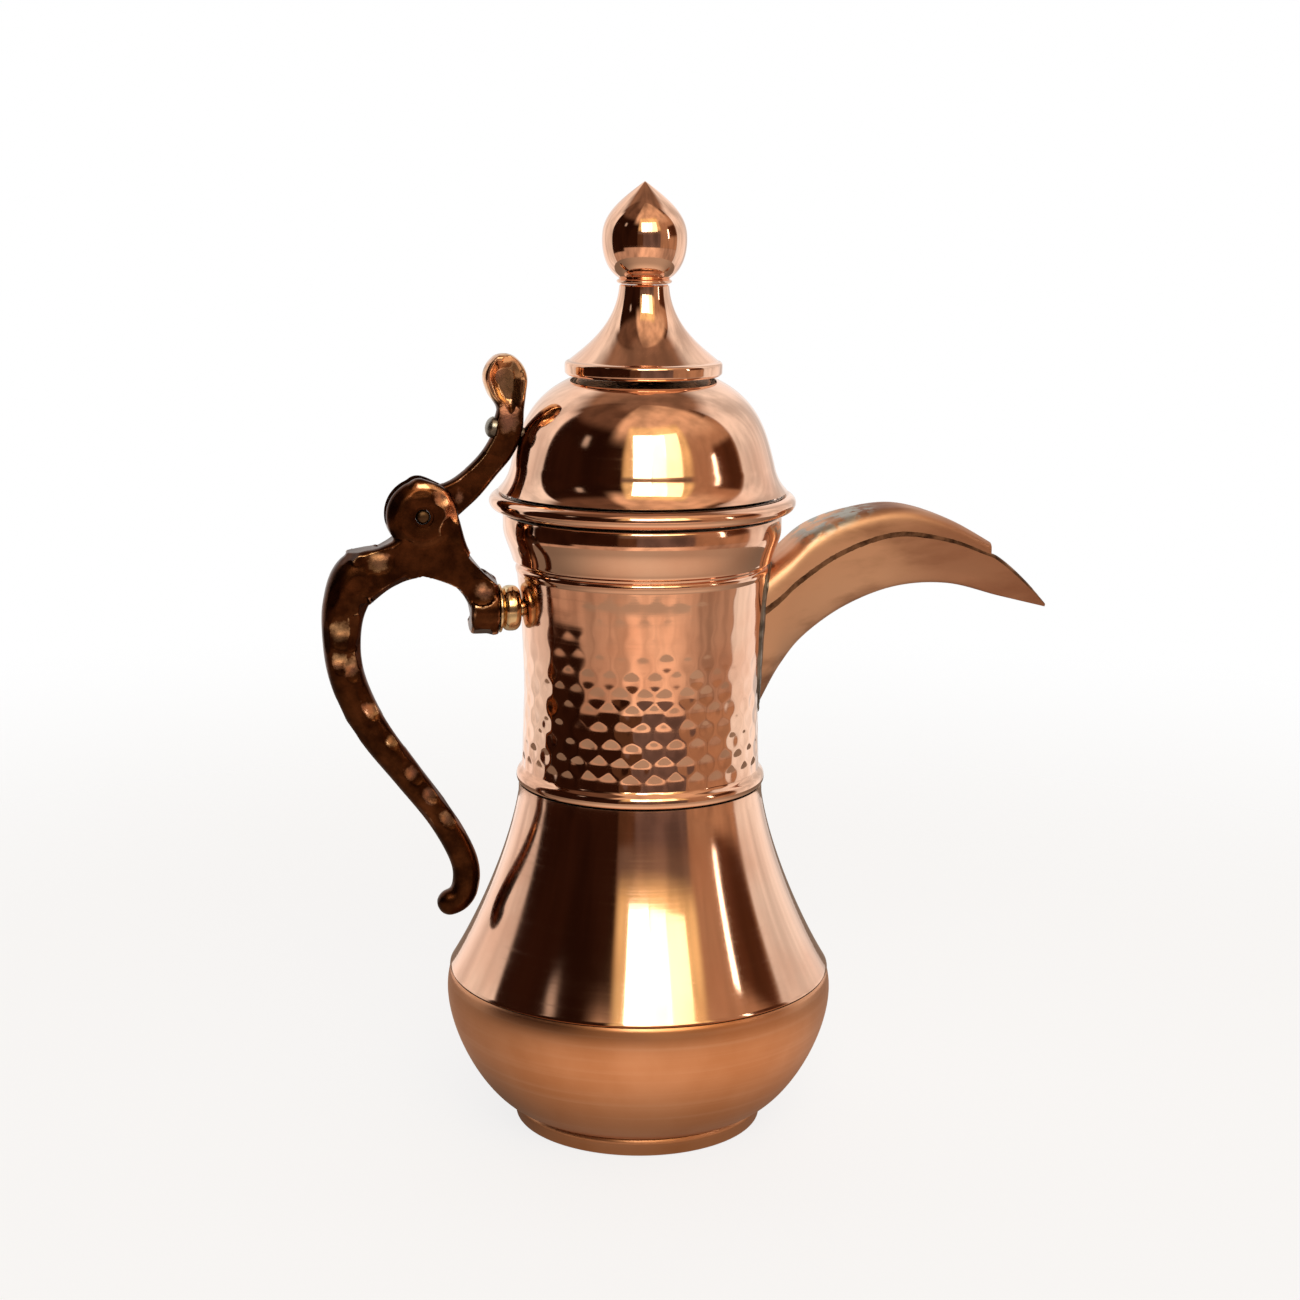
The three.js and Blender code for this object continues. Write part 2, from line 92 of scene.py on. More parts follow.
FOOT_RADIUS, FOOT_TOP = high("foot_ring")[0], high("foot_ring")[2]
PAN_RADIUS, PAN_TOP = high("bottom_pan")[0], high("bottom_pan")[2]
BELLY, CREASE_Z = high("bowl_shell")[0], high("bowl_shell")[2]
CREASE, WAIST_Z = high("cone_shell")[0], high("cone_shell")[2]
COLLAR, MOUTH_Z = high("neck_shell")[1], high("neck_shell")[2]
NECK_Z = low("neck_shell")[2]
RIM_ROLL = (high("lid_rim")[2] - low("lid_rim")[2]) / 2
RIM_Z = (high("lid_rim")[2] + low("lid_rim")[2]) / 2
RIM_RADIUS = high("lid_rim")[1] - RIM_ROLL
RIM_SQUASH = 0.85  # height of the rolled rim over its width
RIM_LIFT = RIM_Z * (1 - RIM_SQUASH) + 0.35
DOME_RADIUS, (DOME_Z, DOME_TOP) = high("lid_dome")[1], ends("lid_dome", 2)
FLANGE, (FLANGE_Z, STEEPLE_TOP) = high("lid_steeple")[1], ends("lid_steeple", 2)
BULB, (FINIAL_Z, TIP_Z) = high("lid_finial")[1], ends("lid_finial", 2)
PIN = (low("hinge_pin") + high("hinge_pin")) / 2
PIN_AT = (PIN[0], PIN[2])
PIN_RADIUS = (high("hinge_pin")[2] - low("hinge_pin")[2]) / 2
PIN_HALF = high("hinge_pin")[1]
STUD_Z = (low("handle_stud")[2] + high("handle_stud")[2]) / 2
STUD_RADIUS = high("handle_stud")[1]
SPOUT_TIP = high("spout_trough")[0]
COVER_END = high("spout_cover")[0]
EYE_HALF = 2.5  # half thickness of the lever in the hinge slot
SLOT_HALF = 2.9  # half width of the hinge slot

# Hammered band of the neck: staggered rows of shallow round dents.
DENTS = {"round": 34, "rows": 12, "first": 113.6, "pitch": 5.1, "reach": 3.5, "depth": 0.22}

# ---- curves


def curve(points, share):
    """Smooth curve through the points, at shares of its length from 0 to 1."""
    p = np.array(points, float)
    p = np.vstack([p[:1], p, p[-1:]])
    t = np.clip(share, 0, 1) * (len(points) - 1)
    i = np.minimum(t.astype(int), len(points) - 2)
    f = (t - i)[..., None]
    a, b, c, d = p[i], p[i + 1], p[i + 2], p[i + 3]
    leave, arrive = (c - a) / 2, (d - b) / 2
    cubic, square = 2 * b - 2 * c + leave + arrive, 3 * c - 3 * b - 2 * leave - arrive
    return cubic * f**3 + square * f**2 + leave * f + b


def along(points, steps):
    return curve(points, np.linspace(0, 1, steps + 1))


def bezier(a, b, c, d, steps=24):
    t = np.linspace(0, 1, steps + 1)[:, None]
    a, b, c, d = (np.array(p, float) for p in (a, b, c, d))
    return (1 - t) ** 3 * a + 3 * (1 - t) ** 2 * t * b + 3 * (1 - t) * t**2 * c + t**3 * d


def arc(centre, radius, start, end, steps=8):
    turn = np.radians(np.linspace(start, end, steps + 1))
    return np.array(centre) + radius * np.stack([np.cos(turn), np.sin(turn)], -1)


def softened(outline, radius):
    """A closed outline with its corners rounded, apart from those on the axis."""
    points = np.array(outline, float)
    made = []
    for i, corner in enumerate(points):
        before, after = points[i - 1] - corner, points[(i + 1) % len(points)] - corner
        if abs(corner[0]) < 1e-9:
            made.append(corner)
            continue
        reach = min(radius, 0.45 * np.linalg.norm(before), 0.45 * np.linalg.norm(after))
        start = corner + before / np.linalg.norm(before) * reach
        end = corner + after / np.linalg.norm(after) * reach
        for t in np.linspace(0, 1, 5):
            made.append((1 - t) ** 2 * start + 2 * t * (1 - t) * corner + t**2 * end)
    return np.array(made)


def offset_profile(outer, distance):
    """Profile that lies a distance inside an outer one that runs upwards."""
    run = np.gradient(outer, axis=0)
    run /= np.linalg.norm(run, axis=1)[:, None]
    return outer + distance * np.stack([-run[:, 1], run[:, 0]], -1)


# ---- surfaces


def quads(rows, columns, wrap_rows=False, wrap_columns=True):
    """Faces of a grid of points that is stored row by row."""
    i, j = np.meshgrid(np.arange(rows if wrap_rows else rows - 1),
                       np.arange(columns if wrap_columns else columns - 1), indexing="ij")
    down, right = (i + 1) % rows, (j + 1) % columns
    upper, lower = i * columns, down * columns
    return np.stack([upper + j, upper + right, lower + right, lower + j], -1).reshape(-1, 4)


def turned(outline, segments=ROUND):
    """(points, faces) of an outline turned about Z."""
    outline = np.array(outline, float)
    turn = 2 * math.pi * np.arange(segments) / segments
    radius, height = outline[:, :1], np.repeat(outline[:, 1:], segments, 1)
    points = np.stack([radius * np.cos(turn), radius * np.sin(turn), height], -1)
    closed = outline[0, 0] > 1e-9
    return points.reshape(-1, 3), quads(len(outline), segments, wrap_rows=closed)


def outline_rows(shape, segments=ROUND):
    """Which row of its outline each face of a turned shape comes from."""
    return np.arange(len(shape[1])) // segments


def lofted(rings):
    """A closed body through rings of points, with its two ends filled."""
    rings = np.array(rings, float)
    rows, columns = rings.shape[:2]
    faces = [tuple(f) for f in quads(rows, columns)]
    faces.append(tuple(range(columns)))
    faces.append(tuple(range((rows - 1) * columns, rows * columns)))
    return rings.reshape(-1, 3), faces


def thickened(outer, inner):
    """A closed sheet between two grids of points, with a rounded edge all round."""
    rows, columns = outer.shape[:2]
    middle = (outer + inner) / 2
    count = rows * columns
    points = [outer.reshape(-1, 3), inner.reshape(-1, 3)]
    faces = [quads(rows, columns, wrap_columns=False)]
    faces.append(faces[0][:, ::-1] + count)
    edge = [(0, j) for j in range(columns)] + [(i, columns - 1) for i in range(1, rows)]
    edge += [(rows - 1, j) for j in range(columns - 2, -1, -1)] + [(i, 0) for i in range(rows - 2, 0, -1)]
    flat = np.array([i * columns + j for i, j in edge])
    after = np.roll(flat, -1)
    lip = []
    for i, j in edge:
        inside = middle[min(max(i, 1), rows - 2), min(max(j, 1), columns - 2)]
        away = middle[i, j] - inside
        wall = np.linalg.norm(outer[i, j] - inner[i, j])
        lip.append(middle[i, j] + away / max(np.linalg.norm(away), 1e-9) * wall * 0.3)
    lips = 2 * count + np.arange(len(edge))
    next_lips = np.roll(lips, -1)
    faces.append(np.stack([flat, lips, next_lips, after], -1))
    faces.append(np.stack([lips, flat + count, after + count, next_lips], -1))
    return np.vstack([*points, lip]), np.vstack(faces), [len(faces[0]), len(faces[1])]


def rod(axis, radius, start, end, centre=(0, 0), soft=0.3, segments=FINE):
    """A solid round bar along X, Y or Z, with softened ends."""
    outline = softened([(0, start), (radius, start), (radius, end), (0, end)], soft)
    return laid(turned(outline, segments), axis, centre)


def laid(shape, axis, centre):
    """A shape made about Z laid along an axis, through a centre given by the other two coordinates."""
    points, faces = shape
    a, b, run = points[:, 0] + centre[0], points[:, 1] + centre[1], points[:, 2]
    columns = {"x": (run, a, b), "y": (a, run, b), "z": (a, b, run)}[axis]
    return np.stack(columns, -1), faces


# ---- meshes


def mesh_of(name, shapes, materials=(), kinds=None, crease=35.0):
    """A mesh object in metres from (points, faces) shapes. Edges sharper than crease degrees stay sharp."""
    bm = bmesh.new()
    for points, faces in shapes:
        corners = [bm.verts.new(p) for p in np.asarray(points) * MM]
        for face in faces:
            bm.faces.new([corners[k] for k in face])
    if kinds is not None:
        for face, kind in zip(bm.faces, kinds):
            face.material_index = int(kind)
    bmesh.ops.remove_doubles(bm, verts=bm.verts, dist=1e-4 * MM)
    bmesh.ops.recalc_face_normals(bm, faces=bm.faces)
    return object_of(name, bm, materials, crease)


def shade_smooth(bm, crease):
    for face in bm.faces:
        face.smooth = True
    for edge in bm.edges:
        edge.smooth = len(edge.link_faces) < 2 or edge.calc_face_angle(0) < math.radians(crease)


def object_of(name, bm, materials, crease):
    shade_smooth(bm, crease)
    mesh = bpy.data.meshes.new(name)
    bm.to_mesh(mesh)
    bm.free()
    for material in materials:
        mesh.materials.append(material)
    made = bpy.data.objects.new(name, mesh)
    bpy.context.scene.collection.objects.link(made)
    return made


def applied(obj, kind, **settings):
    """Applies one modifier to the object."""
    modifier = obj.modifiers.new(kind.lower(), kind)
    for key, value in settings.items():
        setattr(modifier, key, value)
    bpy.context.view_layer.update()
    graph = bpy.context.evaluated_depsgraph_get()
    mesh = bpy.data.meshes.new_from_object(obj.evaluated_get(graph))
    obj.modifiers.clear()
    obj.data = mesh


def carved(obj, shapes, crease=35.0):
    """Cuts the shapes out of the object."""
    cutter = mesh_of("cutter", shapes)
    applied(obj, "BOOLEAN", operation="DIFFERENCE", solver="MANIFOLD", object=cutter)
    bpy.data.objects.remove(cutter)
    bm = bmesh.new()
    bm.from_mesh(obj.data)
    shade_smooth(bm, crease)
    bm.to_mesh(obj.data)
    bm.free()


def placed(obj, node):
    """Lets the object stand for a CAD node and move with the node's body."""
    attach(obj, frame["nodes"][node]["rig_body"])
    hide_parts(node)


def piece(node, shapes, materials, kinds=None, crease=35.0):
    placed(mesh_of(node + "_fine", shapes, materials, kinds, crease), node)


def vertices(obj):
    data = np.zeros(len(obj.data.vertices) * 3, np.float32)
    obj.data.vertices.foreach_get("co", data)
    return data.reshape(-1, 3).astype(float) / MM


def set_vertices(obj, points):
    obj.data.vertices.foreach_set("co", (points * MM).astype(np.float32).ravel())
    obj.data.update()


def normals(obj):
    data = np.zeros(len(obj.data.vertices) * 3, np.float32)
    obj.data.vertices.foreach_get("normal", data)
    return data.reshape(-1, 3).astype(float)


def neighbour_mean(obj, values):
    """Mean of a value over each vertex's neighbours."""
    edges = np.zeros(len(obj.data.edges) * 2, np.int32)
    obj.data.edges.foreach_get("vertices", edges)
    a, b = edges.reshape(-1, 2).T
    total, count = np.zeros_like(values), np.zeros(len(values))
    for here, there in ((a, b), (b, a)):
        np.add.at(total, here, values[there])
        np.add.at(count, here, 1)
    return total / np.maximum(count, 1).reshape([-1] + [1] * (values.ndim - 1))


# ---- finishes


class Nodes:
    """Makes and links the nodes of one shader tree."""

    def __init__(self, tree):
        self.tree = tree

    def node(self, kind, inputs=None, **settings):
        made = self.tree.nodes.new(kind)
        for key, value in settings.items():
            setattr(made, key, value)
        for key, value in (inputs or {}).items():
            if isinstance(value, bpy.types.NodeSocket):
                self.tree.links.new(value, made.inputs[key])
            else:
                made.inputs[key].default_value = value
        return made

    def graded(self, value, start, end, low=0.0, high=1.0):
        """A value eased from low to high as it goes from start to end."""
        inputs = {"Value": value, "From Min": start, "From Max": end, "To Min": low, "To Max": high}
        return self.node("ShaderNodeMapRange", inputs, interpolation_type="SMOOTHSTEP").outputs[0]

    def maths(self, operation, a, b=0.0):
        return self.node("ShaderNodeMath", {0: a, 1: b}, operation=operation).outputs[0]

    def mixed(self, share, a, b):
        first, last = (v if isinstance(v, bpy.types.NodeSocket) else (*v, 1.0) for v in (a, b))
        return self.node("ShaderNodeMix", {0: share, 6: first, 7: last}, data_type="RGBA").outputs[2]

    def length(self, vector):
        return self.node("ShaderNodeVectorMath", {0: vector}, operation="LENGTH").outputs["Value"]

    def dot(self, vector, fixed):
        inputs = {0: vector, 1: tuple(fixed)}
        return self.node("ShaderNodeVectorMath", inputs, operation="DOT_PRODUCT").outputs["Value"]


class Finish(Nodes):
    """A procedural material round one Principled shader, read in object space."""

    def __init__(self, name):
        self.material = bpy.data.materials.new(name)
        self.material.use_nodes = True
        super().__init__(self.material.node_tree)
        self.shader = self.tree.nodes["Principled BSDF"]
        self.shader.inputs["Metallic"].default_value = 1.0
        self.place = self.node("ShaderNodeTexCoord").outputs["Object"]
        self.normal = None

    def noise(self, scale, detail=3.0, stretch=(1, 1, 1), roughness=0.5):
        """Noise from 0 to 1, with features about 1/scale metres across, drawn out by stretch."""
        where = self.node("ShaderNodeMapping", {"Vector": self.place, "Scale": stretch}).outputs[0]
        inputs = {"Vector": where, "Scale": scale, "Detail": detail, "Roughness": roughness}
        return self.node("ShaderNodeTexNoise", inputs).outputs[0]

    def part_of_place(self, axis):
        return self.node("ShaderNodeSeparateXYZ", {0: self.place}).outputs[axis]

    def bump(self, height, distance):
        """Relief of a real depth in millimetres, laid over the relief given before."""
        inputs = {"Height": height, "Distance": distance * MM}
        if self.normal is not None:
            inputs["Normal"] = self.normal
        self.normal = self.node("ShaderNodeBump", inputs).outputs[0]

    def paint(self, colour, roughness):
        for socket, value in (("Base Color", colour), ("Roughness", roughness), ("Normal", self.normal)):
            self.tree.links.new(value, self.shader.inputs[socket])
        return self.material


SPUN = (0.012, 0.012, 1.0)  # noise drawn out round the Z axis into the marks of a lathe


def polished_copper(name="polished_copper", marks=0.006, haze=0.0):
    """Mirror-like copper with the marks of the lathe, of the given depth in millimetres."""
    finish = Finish(name)
    smudge = finish.noise(38, 6)
    lines = finish.noise(1500, 2, SPUN)
    colour = finish.mixed(finish.graded(smudge, 0.35, 0.75), (0.87, 0.56, 0.40), (0.80, 0.45, 0.30))
    finish.bump(finish.noise(16, 1), 0.10)
    finish.bump(finish.noise(240, 2, SPUN), marks)
    finish.bump(finish.noise(150, 2, (0.3, 0.3, 1.0)), 0.012)
    finish.bump(lines, 0.0011 + marks * 0.04)
    cloud = finish.graded(smudge, 0.4, 0.8, 0.05 + haze, 0.14 + haze)
    return finish.paint(colour, finish.maths("ADD", cloud, finish.graded(lines, 0.5, 0.75, 0.0, 0.04)))


def satin_copper():
    finish = Finish("satin_copper")
    blotch = finish.noise(26, 5)
    streak = finish.noise(700, 3, SPUN)
    base = finish.mixed(finish.graded(blotch, 0.35, 0.7), (0.74, 0.36, 0.19), (0.62, 0.27, 0.12))
    colour = finish.mixed(finish.graded(streak, 0.45, 0.8, 0.0, 0.35), base, (0.82, 0.47, 0.29))
    finish.bump(finish.noise(30, 2), 0.10)
    finish.bump(streak, 0.004)
    finish.bump(finish.noise(2600, 2), 0.0012)
    return finish.paint(colour, finish.graded(blotch, 0.3, 0.75, 0.30, 0.42))


def spout_copper():
    """Satin copper with brown smudges, drawn along the spout, and traces of tin on the crest."""
    finish = Finish("spout_copper")
    smudge = finish.noise(46, 5, (0.45, 1, 1.4))
    streak = finish.noise(900, 3, (0.05, 0.4, 1.0))
    base = finish.mixed(finish.graded(smudge, 0.42, 0.68), (0.86, 0.53, 0.34), (0.30, 0.14, 0.08))
    # Darker and redder towards the tip.
    darker_to_tip = finish.graded(finish.part_of_place(0), 66 * MM, 98 * MM, 0.0, 0.75)
    base = finish.mixed(darker_to_tip, base, (0.42, 0.20, 0.12))
    tinned = finish.maths("MULTIPLY", crest_mask(finish), finish.graded(finish.noise(220, 4), 0.42, 0.56))
    colour = finish.mixed(tinned, base, (0.50, 0.50, 0.46))
    finish.bump(finish.noise(60, 2), 0.08)
    finish.bump(streak, 0.003)
    finish.bump(finish.maths("MULTIPLY", tinned, finish.noise(500, 3)), 0.25)
    return finish.paint(colour, finish.graded(smudge, 0.3, 0.7, 0.42, 0.56))


def crest_mask(finish):
    """1 along the top of the rising part of the spout, where the solder has run."""
    x, z = finish.part_of_place(0), finish.part_of_place(2)
    rise = finish.graded(x, 44 * MM, 50 * MM)
    fall = finish.graded(x, 68 * MM, 74 * MM, 1.0, 0.0)
    lift = finish.maths("SUBTRACT", z, finish.maths("MULTIPLY", x, 0.42))
    top = finish.graded(lift, 157.5 * MM, 160.5 * MM)
    return finish.maths("MULTIPLY", finish.maths("MULTIPLY", rise, fall), top)


def tin(name="tin", light=(0.62, 0.61, 0.57), dark=(0.30, 0.30, 0.27), roughness=(0.28, 0.5), grain=90):
    finish = Finish(name)
    cloud = finish.noise(grain, 5)
    colour = finish.mixed(finish.graded(cloud, 0.35, 0.7), light, dark)
    finish.bump(cloud, 0.12)
    finish.bump(finish.noise(grain * 9, 3), 0.012)
    return finish.paint(colour, finish.graded(cloud, 0.3, 0.7, *roughness))


def brass():
    finish = Finish("brass")
    cloud = finish.noise(120, 5)
    colour = finish.mixed(finish.graded(cloud, 0.3, 0.75), (0.80, 0.62, 0.37), (0.50, 0.34, 0.17))
    finish.bump(finish.noise(200, 2), 0.03)
    finish.bump(finish.noise(1800, 2), 0.001)
    return finish.paint(colour, finish.graded(cloud, 0.3, 0.8, 0.10, 0.26))


def cast_bronze():
    """Dark brown patina, worn to bright bronze on convex edges, with painted highlights in bright bronze on
    chosen hammered facets, on the knuckle's rim and on the lever's leaf and root.
    """
    finish = Finish("cast_bronze")
    # Painted highlights and real edge wear, both stored in one attribute, turn the patina to bright bronze.
    worn_and_lit = finish.node("ShaderNodeAttribute", attribute_name="wear_and_sheen").outputs["Fac"]
    mottle = finish.noise(150, 6, roughness=0.62)
    patina = finish.mixed(finish.graded(mottle, 0.3, 0.7), (0.036, 0.011, 0.004), (0.115, 0.038, 0.013))
    rubbed_and_lit = finish.maths("ADD", worn_and_lit, finish.graded(mottle, 0.35, 0.75, -0.25, 0.22))
    bright = finish.graded(rubbed_and_lit, 0.38, 0.85)
    gold = finish.mixed(finish.graded(finish.noise(55, 2), 0.4, 0.6), (0.86, 0.55, 0.30), (0.84, 0.46, 0.30))
    finish.bump(mottle, 0.10)
    finish.bump(finish.noise(900, 4), 0.02)
    rough = finish.graded(bright, 0.0, 1.0, 0.30, 0.16)
    return finish.paint(finish.mixed(bright, patina, gold), rough)


POLISHED, SATIN, SPOUT_SKIN = polished_copper(), satin_copper(), spout_copper()
SPUN_COPPER = polished_copper("spun_copper", 0.014, 0.02)
BRONZE, BRASS = cast_bronze(), brass()
LINING = tin("tin_lining", (0.66, 0.65, 0.61), (0.45, 0.43, 0.39), (0.22, 0.36), 40)
SOLDER = tin("tin_solder", (0.34, 0.32, 0.28), (0.10, 0.085, 0.07), (0.30, 0.5), 170)
DULL_TIN = tin()
GRIME = tin("seam_grime", (0.30, 0.17, 0.10), (0.06, 0.03, 0.018), (0.4, 0.6), 260)

# ---- turned body


def sheet_under(outer, level_foot=True):
    """Inner profile of a sheet, level with the outer one at its top and, if told so, at its foot."""
    inner = offset_profile(outer, SHEET)
    for end in ((0, -1) if level_foot else (-1,)):
        inner[end] = (outer[end, 0] - SHEET, outer[end, 1])
    return inner


def sheet_turned(node, outer, outside, level_foot=True):
    """A turned sheet under an outer profile, tinned inside."""
    shape = turned(np.vstack([outer, sheet_under(outer, level_foot)[::-1]]))
    piece(node, [shape], [outside, LINING], outline_rows(shape) >= len(outer) - 1)


def bowl_profile():
    foot = (FOOT_RADIUS + 0.2, FOOT_TOP + 0.3)
    belly_z = CREASE_Z - 6.2
    lower = bezier(foot, (47.8, 8.6), (BELLY, 28), (BELLY, belly_z), 40)
    upper = bezier((BELLY, belly_z), (BELLY, belly_z + 2.4), (CREASE + 0.4, CREASE_Z - 2.0),
                   (CREASE, CREASE_Z - 0.5), 8)
    return np.vstack([lower, upper[1:], [(CREASE - 0.35, CREASE_Z)]])


def cone_profile():
    z = CREASE_Z + 0.3
    edge = [(CREASE - 0.30, z), (CREASE, z + 0.35)]
    rise = bezier((CREASE - 0.05, z + 0.6), (52.3, 58), (40.2, 82.5), (37.0, WAIST_Z - 3.2), 44)
    return np.vstack([edge, rise, [(36.9, WAIST_Z)]])


def neck_profile():
    bead = along([(36.5, NECK_Z), (37.35, NECK_Z + 0.7), (37.6, NECK_Z + 2.0), (37.25, NECK_Z + 3.3),
                  (36.35, NECK_Z + 4.3), (35.95, NECK_Z + 5.0)], 18)
    waist = along([(35.95, NECK_Z + 5.0), (35.6, 123), (35.3, 138), (36.2, 158), (37.35, 170.2)], 118)
    shoulder = along([(37.35, 170.2), (37.75, 171.4), (37.72, 172.3), (37.1, 173.1)], 12)
    ledge = along([(37.1, 173.1), (37.5, 173.9), (38.5, 174.4), (38.85, 175.4)], 10)
    flare = bezier((38.85, 175.4), (40.2, 179.6), (COLLAR, 181.6), (COLLAR, 184.6), 20)
    edge = [(COLLAR, MOUTH_Z - 0.6), (COLLAR - 0.3, MOUTH_Z)]
    return np.vstack([bead, waist[1:], shoulder[1:], ledge[1:], flare[1:], edge])


def hammered(points):
    """Depth of the hammer's dents at points on the neck."""
    random = np.random.default_rng(7)
    turn = np.arctan2(points[:, 1], points[:, 0])
    radius, height = np.hypot(points[:, 0], points[:, 1]), points[:, 2]
    step = 2 * math.pi / DENTS["round"]
    wander = random.normal(0, 1, (DENTS["rows"], DENTS["round"], 3))
    depth = np.zeros(len(points))
    for row in range(DENTS["rows"]):
        shift = 0.5 * (row % 2)
        nearest = np.round(turn / step - shift)
        for column in (nearest - 1, nearest, nearest + 1):
            blow = wander[row, column.astype(int) % DENTS["round"]]
            across = (turn - (column + shift) * step) * radius - 0.4 * blow[:, 0]
            rise = height - (DENTS["first"] + row * DENTS["pitch"]) - 0.4 * blow[:, 1]
            far = (across**2 + rise**2) / DENTS["reach"] ** 2
            fade = 1.0 - 0.9 * np.clip((row - 4) / 4.5, 0, 1)
            dent = DENTS["depth"] * fade * (1 + 0.2 * blow[:, 2]) * np.clip(1 - far, 0, 1) ** 2
            depth = np.maximum(depth, dent)
    return depth


def build_neck():
    """The neck with its hammer marks, and in its wall the strainer and the hole for the handle's stud."""
    outer = neck_profile()
    inner = sheet_under(outer)
    inner = inner[::2] if len(inner) % 2 else np.vstack([inner[:-1:2], inner[-1:]])
    segments = 12 * DENTS["round"]
    points, faces = turned(np.vstack([outer, inner[::-1]]), segments)
    kinds = outline_rows((points, faces), segments) >= len(outer) - 1
    skin = len(outer) * segments
    sunk = hammered(points[:skin])
    out = points[:skin, :2] / np.linalg.norm(points[:skin, :2], axis=1)[:, None]
    points[:skin, :2] -= out * sunk[:, None]
    neck = mesh_of("neck_shell_fine", [(points, faces)], [POLISHED, LINING], kinds)
    holes = [rod("x", 2.0, 25, 42, (side, 147 + 6 * row), 0, 20)
             for row, sides in enumerate([(-2.8, 2.8), (-5.6, 0, 5.6), (-2.8, 2.8)]) for side in sides]
    carved(neck, holes + [rod("x", STUD_RADIUS + 0.3, -45, -25, (0, STUD_Z), 0, 24)])
    placed(neck, "neck_shell")


def build_body():
    wall = PAN_RADIUS - SHEET
    pan = softened([(0, 0), (PAN_RADIUS, 0), (PAN_RADIUS, PAN_TOP), (wall, PAN_TOP), (wall, SHEET),
                    (0, SHEET)], 0.8)
    piece("bottom_pan", [turned(pan)], [DULL_TIN])
    inner = PAN_RADIUS + 0.3
    ring = softened([(inner, 0), (FOOT_RADIUS - 0.8, 0), (FOOT_RADIUS, FOOT_TOP - 1.3),
                     (FOOT_RADIUS - 0.5, FOOT_TOP), (inner, FOOT_TOP)], 0.5)
    piece("foot_ring", [turned(ring)], [SATIN])
    sheet_turned("bowl_shell", bowl_profile(), SATIN, level_foot=False)
    sheet_turned("cone_shell", cone_profile(), SPUN_COPPER)
    build_neck()


# ---- spout
# Side view (x, z) of the ridge, the keel and the lap seam, and the half width along the spout.
RIDGE = [(29, 165), (42, 175), (51.6, 182.9), (64, 187.3), (79, 188.9), (94, 184.6), (108.2, 177),
         (120.5, 169), (SPOUT_TIP, 158.4)]
KEEL = [(33, 121), (37, 130), (42.4, 139.9), (49.8, 149), (62.9, 158), (79, 163.7), (96, 164.2),
        (112.8, 159.8), (SPOUT_TIP - 0.4, 155.9)]
SEAM = [(20, 150), (38, 162), (46, 168.6), (60, 177), (77, 181.6), (94, 179), (106.7, 174.2), (112, 171.6),
        (120, 165), (SPOUT_TIP - 0.2, 156.6)]
SPOUT_WIDTH = [(0, 11.6), (0.3, 10.8), (0.6, 9.4), (0.8, 7), (0.93, 3.6), (1, 0.45)]
# Cross-section from keel to ridge: height over the section's whole height, and width over its half width.
SPOUT_SECTION = [(0, 0), (0.02, 0.2), (0.1, 0.44), (0.3, 0.74), (0.6, 0.95), (0.88, 1), (0.98, 0.76),
                 (1, 0.35), (1, 0)]
TROUGH_WALL, COVER_WALL = 1.2, 0.9
COVER_LIFT = 0.28  # how far the cover stands proud of the trough
COVER_LAP = 0.012  # how far it laps over the trough, as a share of the way round the section
ROOT_DEPTH = 0.7  # how far the sheets reach into the neck's wall
SKIN, INSIDE, EDGE = range(3)  # which finish a face of the spout has
NEAR = 200  # of the SHARES below, how many lie near the neck


def spout_point(share, round_share, side):
    """Point of the spout: share along it, and round_share from keel (0) to ridge (1) on one side."""
    top, bottom = curve(RIDGE, share), curve(KEEL, share)
    half = curve(SPOUT_WIDTH, share)[..., 1]
    section = curve(SPOUT_SECTION, round_share)
    point = bottom + (top - bottom) * section[..., :1]
    return np.stack([point[..., 0], side * half * section[..., 1], point[..., 1]], -1)


def seam_share(share):
    """How far round the section the lap seam lies, at a share along the spout."""
    top, bottom = curve(RIDGE, share), curve(KEEL, share)
    line = along(SEAM, 400)
    up = top - bottom
    aside = line[None] - bottom[:, None]
    across = aside[..., 0] * up[:, None, 1] - aside[..., 1] * up[:, None, 0]
    nearest = np.argmin(np.abs(across), axis=1)
    level = np.sum((line[nearest] - bottom) * up, -1) / np.sum(up * up, -1)
    rounds = np.linspace(0, 1, 400)
    return np.interp(np.clip(level, 0.05, 1), curve(SPOUT_SECTION, rounds)[:, 0], rounds)


SHARES = np.linspace(0, 1, 500)
SEAM_SHARES = seam_share(SHARES)


def neck_radius(z):
    profile = neck_profile()
    return np.interp(z, profile[:, 1], profile[:, 0])


def where_it_leaves(line, depth):
    """Share of the spout's length at which a line along it leaves the neck, less a depth in the wall."""
    outside = np.hypot(line[:, 0], line[:, 1]) - (neck_radius(line[:, 2]) - depth)
    return np.interp(0, outside[:NEAR], SHARES[:NEAR])


def spout_sheet(cover, rows=150, columns=56):
    """Grid of points of the trough or of the cover, from just inside the neck's wall to its free end."""
    grid = np.zeros((rows + 1, columns + 1, 3))
    for j in range(columns + 1):
        v = 2 * j / columns - 1
        side = 1.0 if v >= 0 else -1.0
        seam = SEAM_SHARES - (COVER_LAP if cover else 0.0)
        rounds = 1 - (1 - seam) * abs(v) if cover else seam * abs(v)
        line = spout_point(SHARES, rounds, side)
        start = where_it_leaves(line, ROOT_DEPTH)
        end = np.interp(COVER_END, line[NEAR:, 0], SHARES[NEAR:]) if cover else 1.0
        share = np.linspace(start, end, rows + 1)
        rounds = np.interp(share, SHARES, rounds)
        grid[:, j] = spout_point(share, rounds, side)
    return grid


def grid_normals(grid):
    a, b = np.gradient(grid, axis=0), np.gradient(grid, axis=1)
    cross = np.cross(b, a)
    return cross / np.maximum(np.linalg.norm(cross, axis=-1), 1e-9)[..., None]


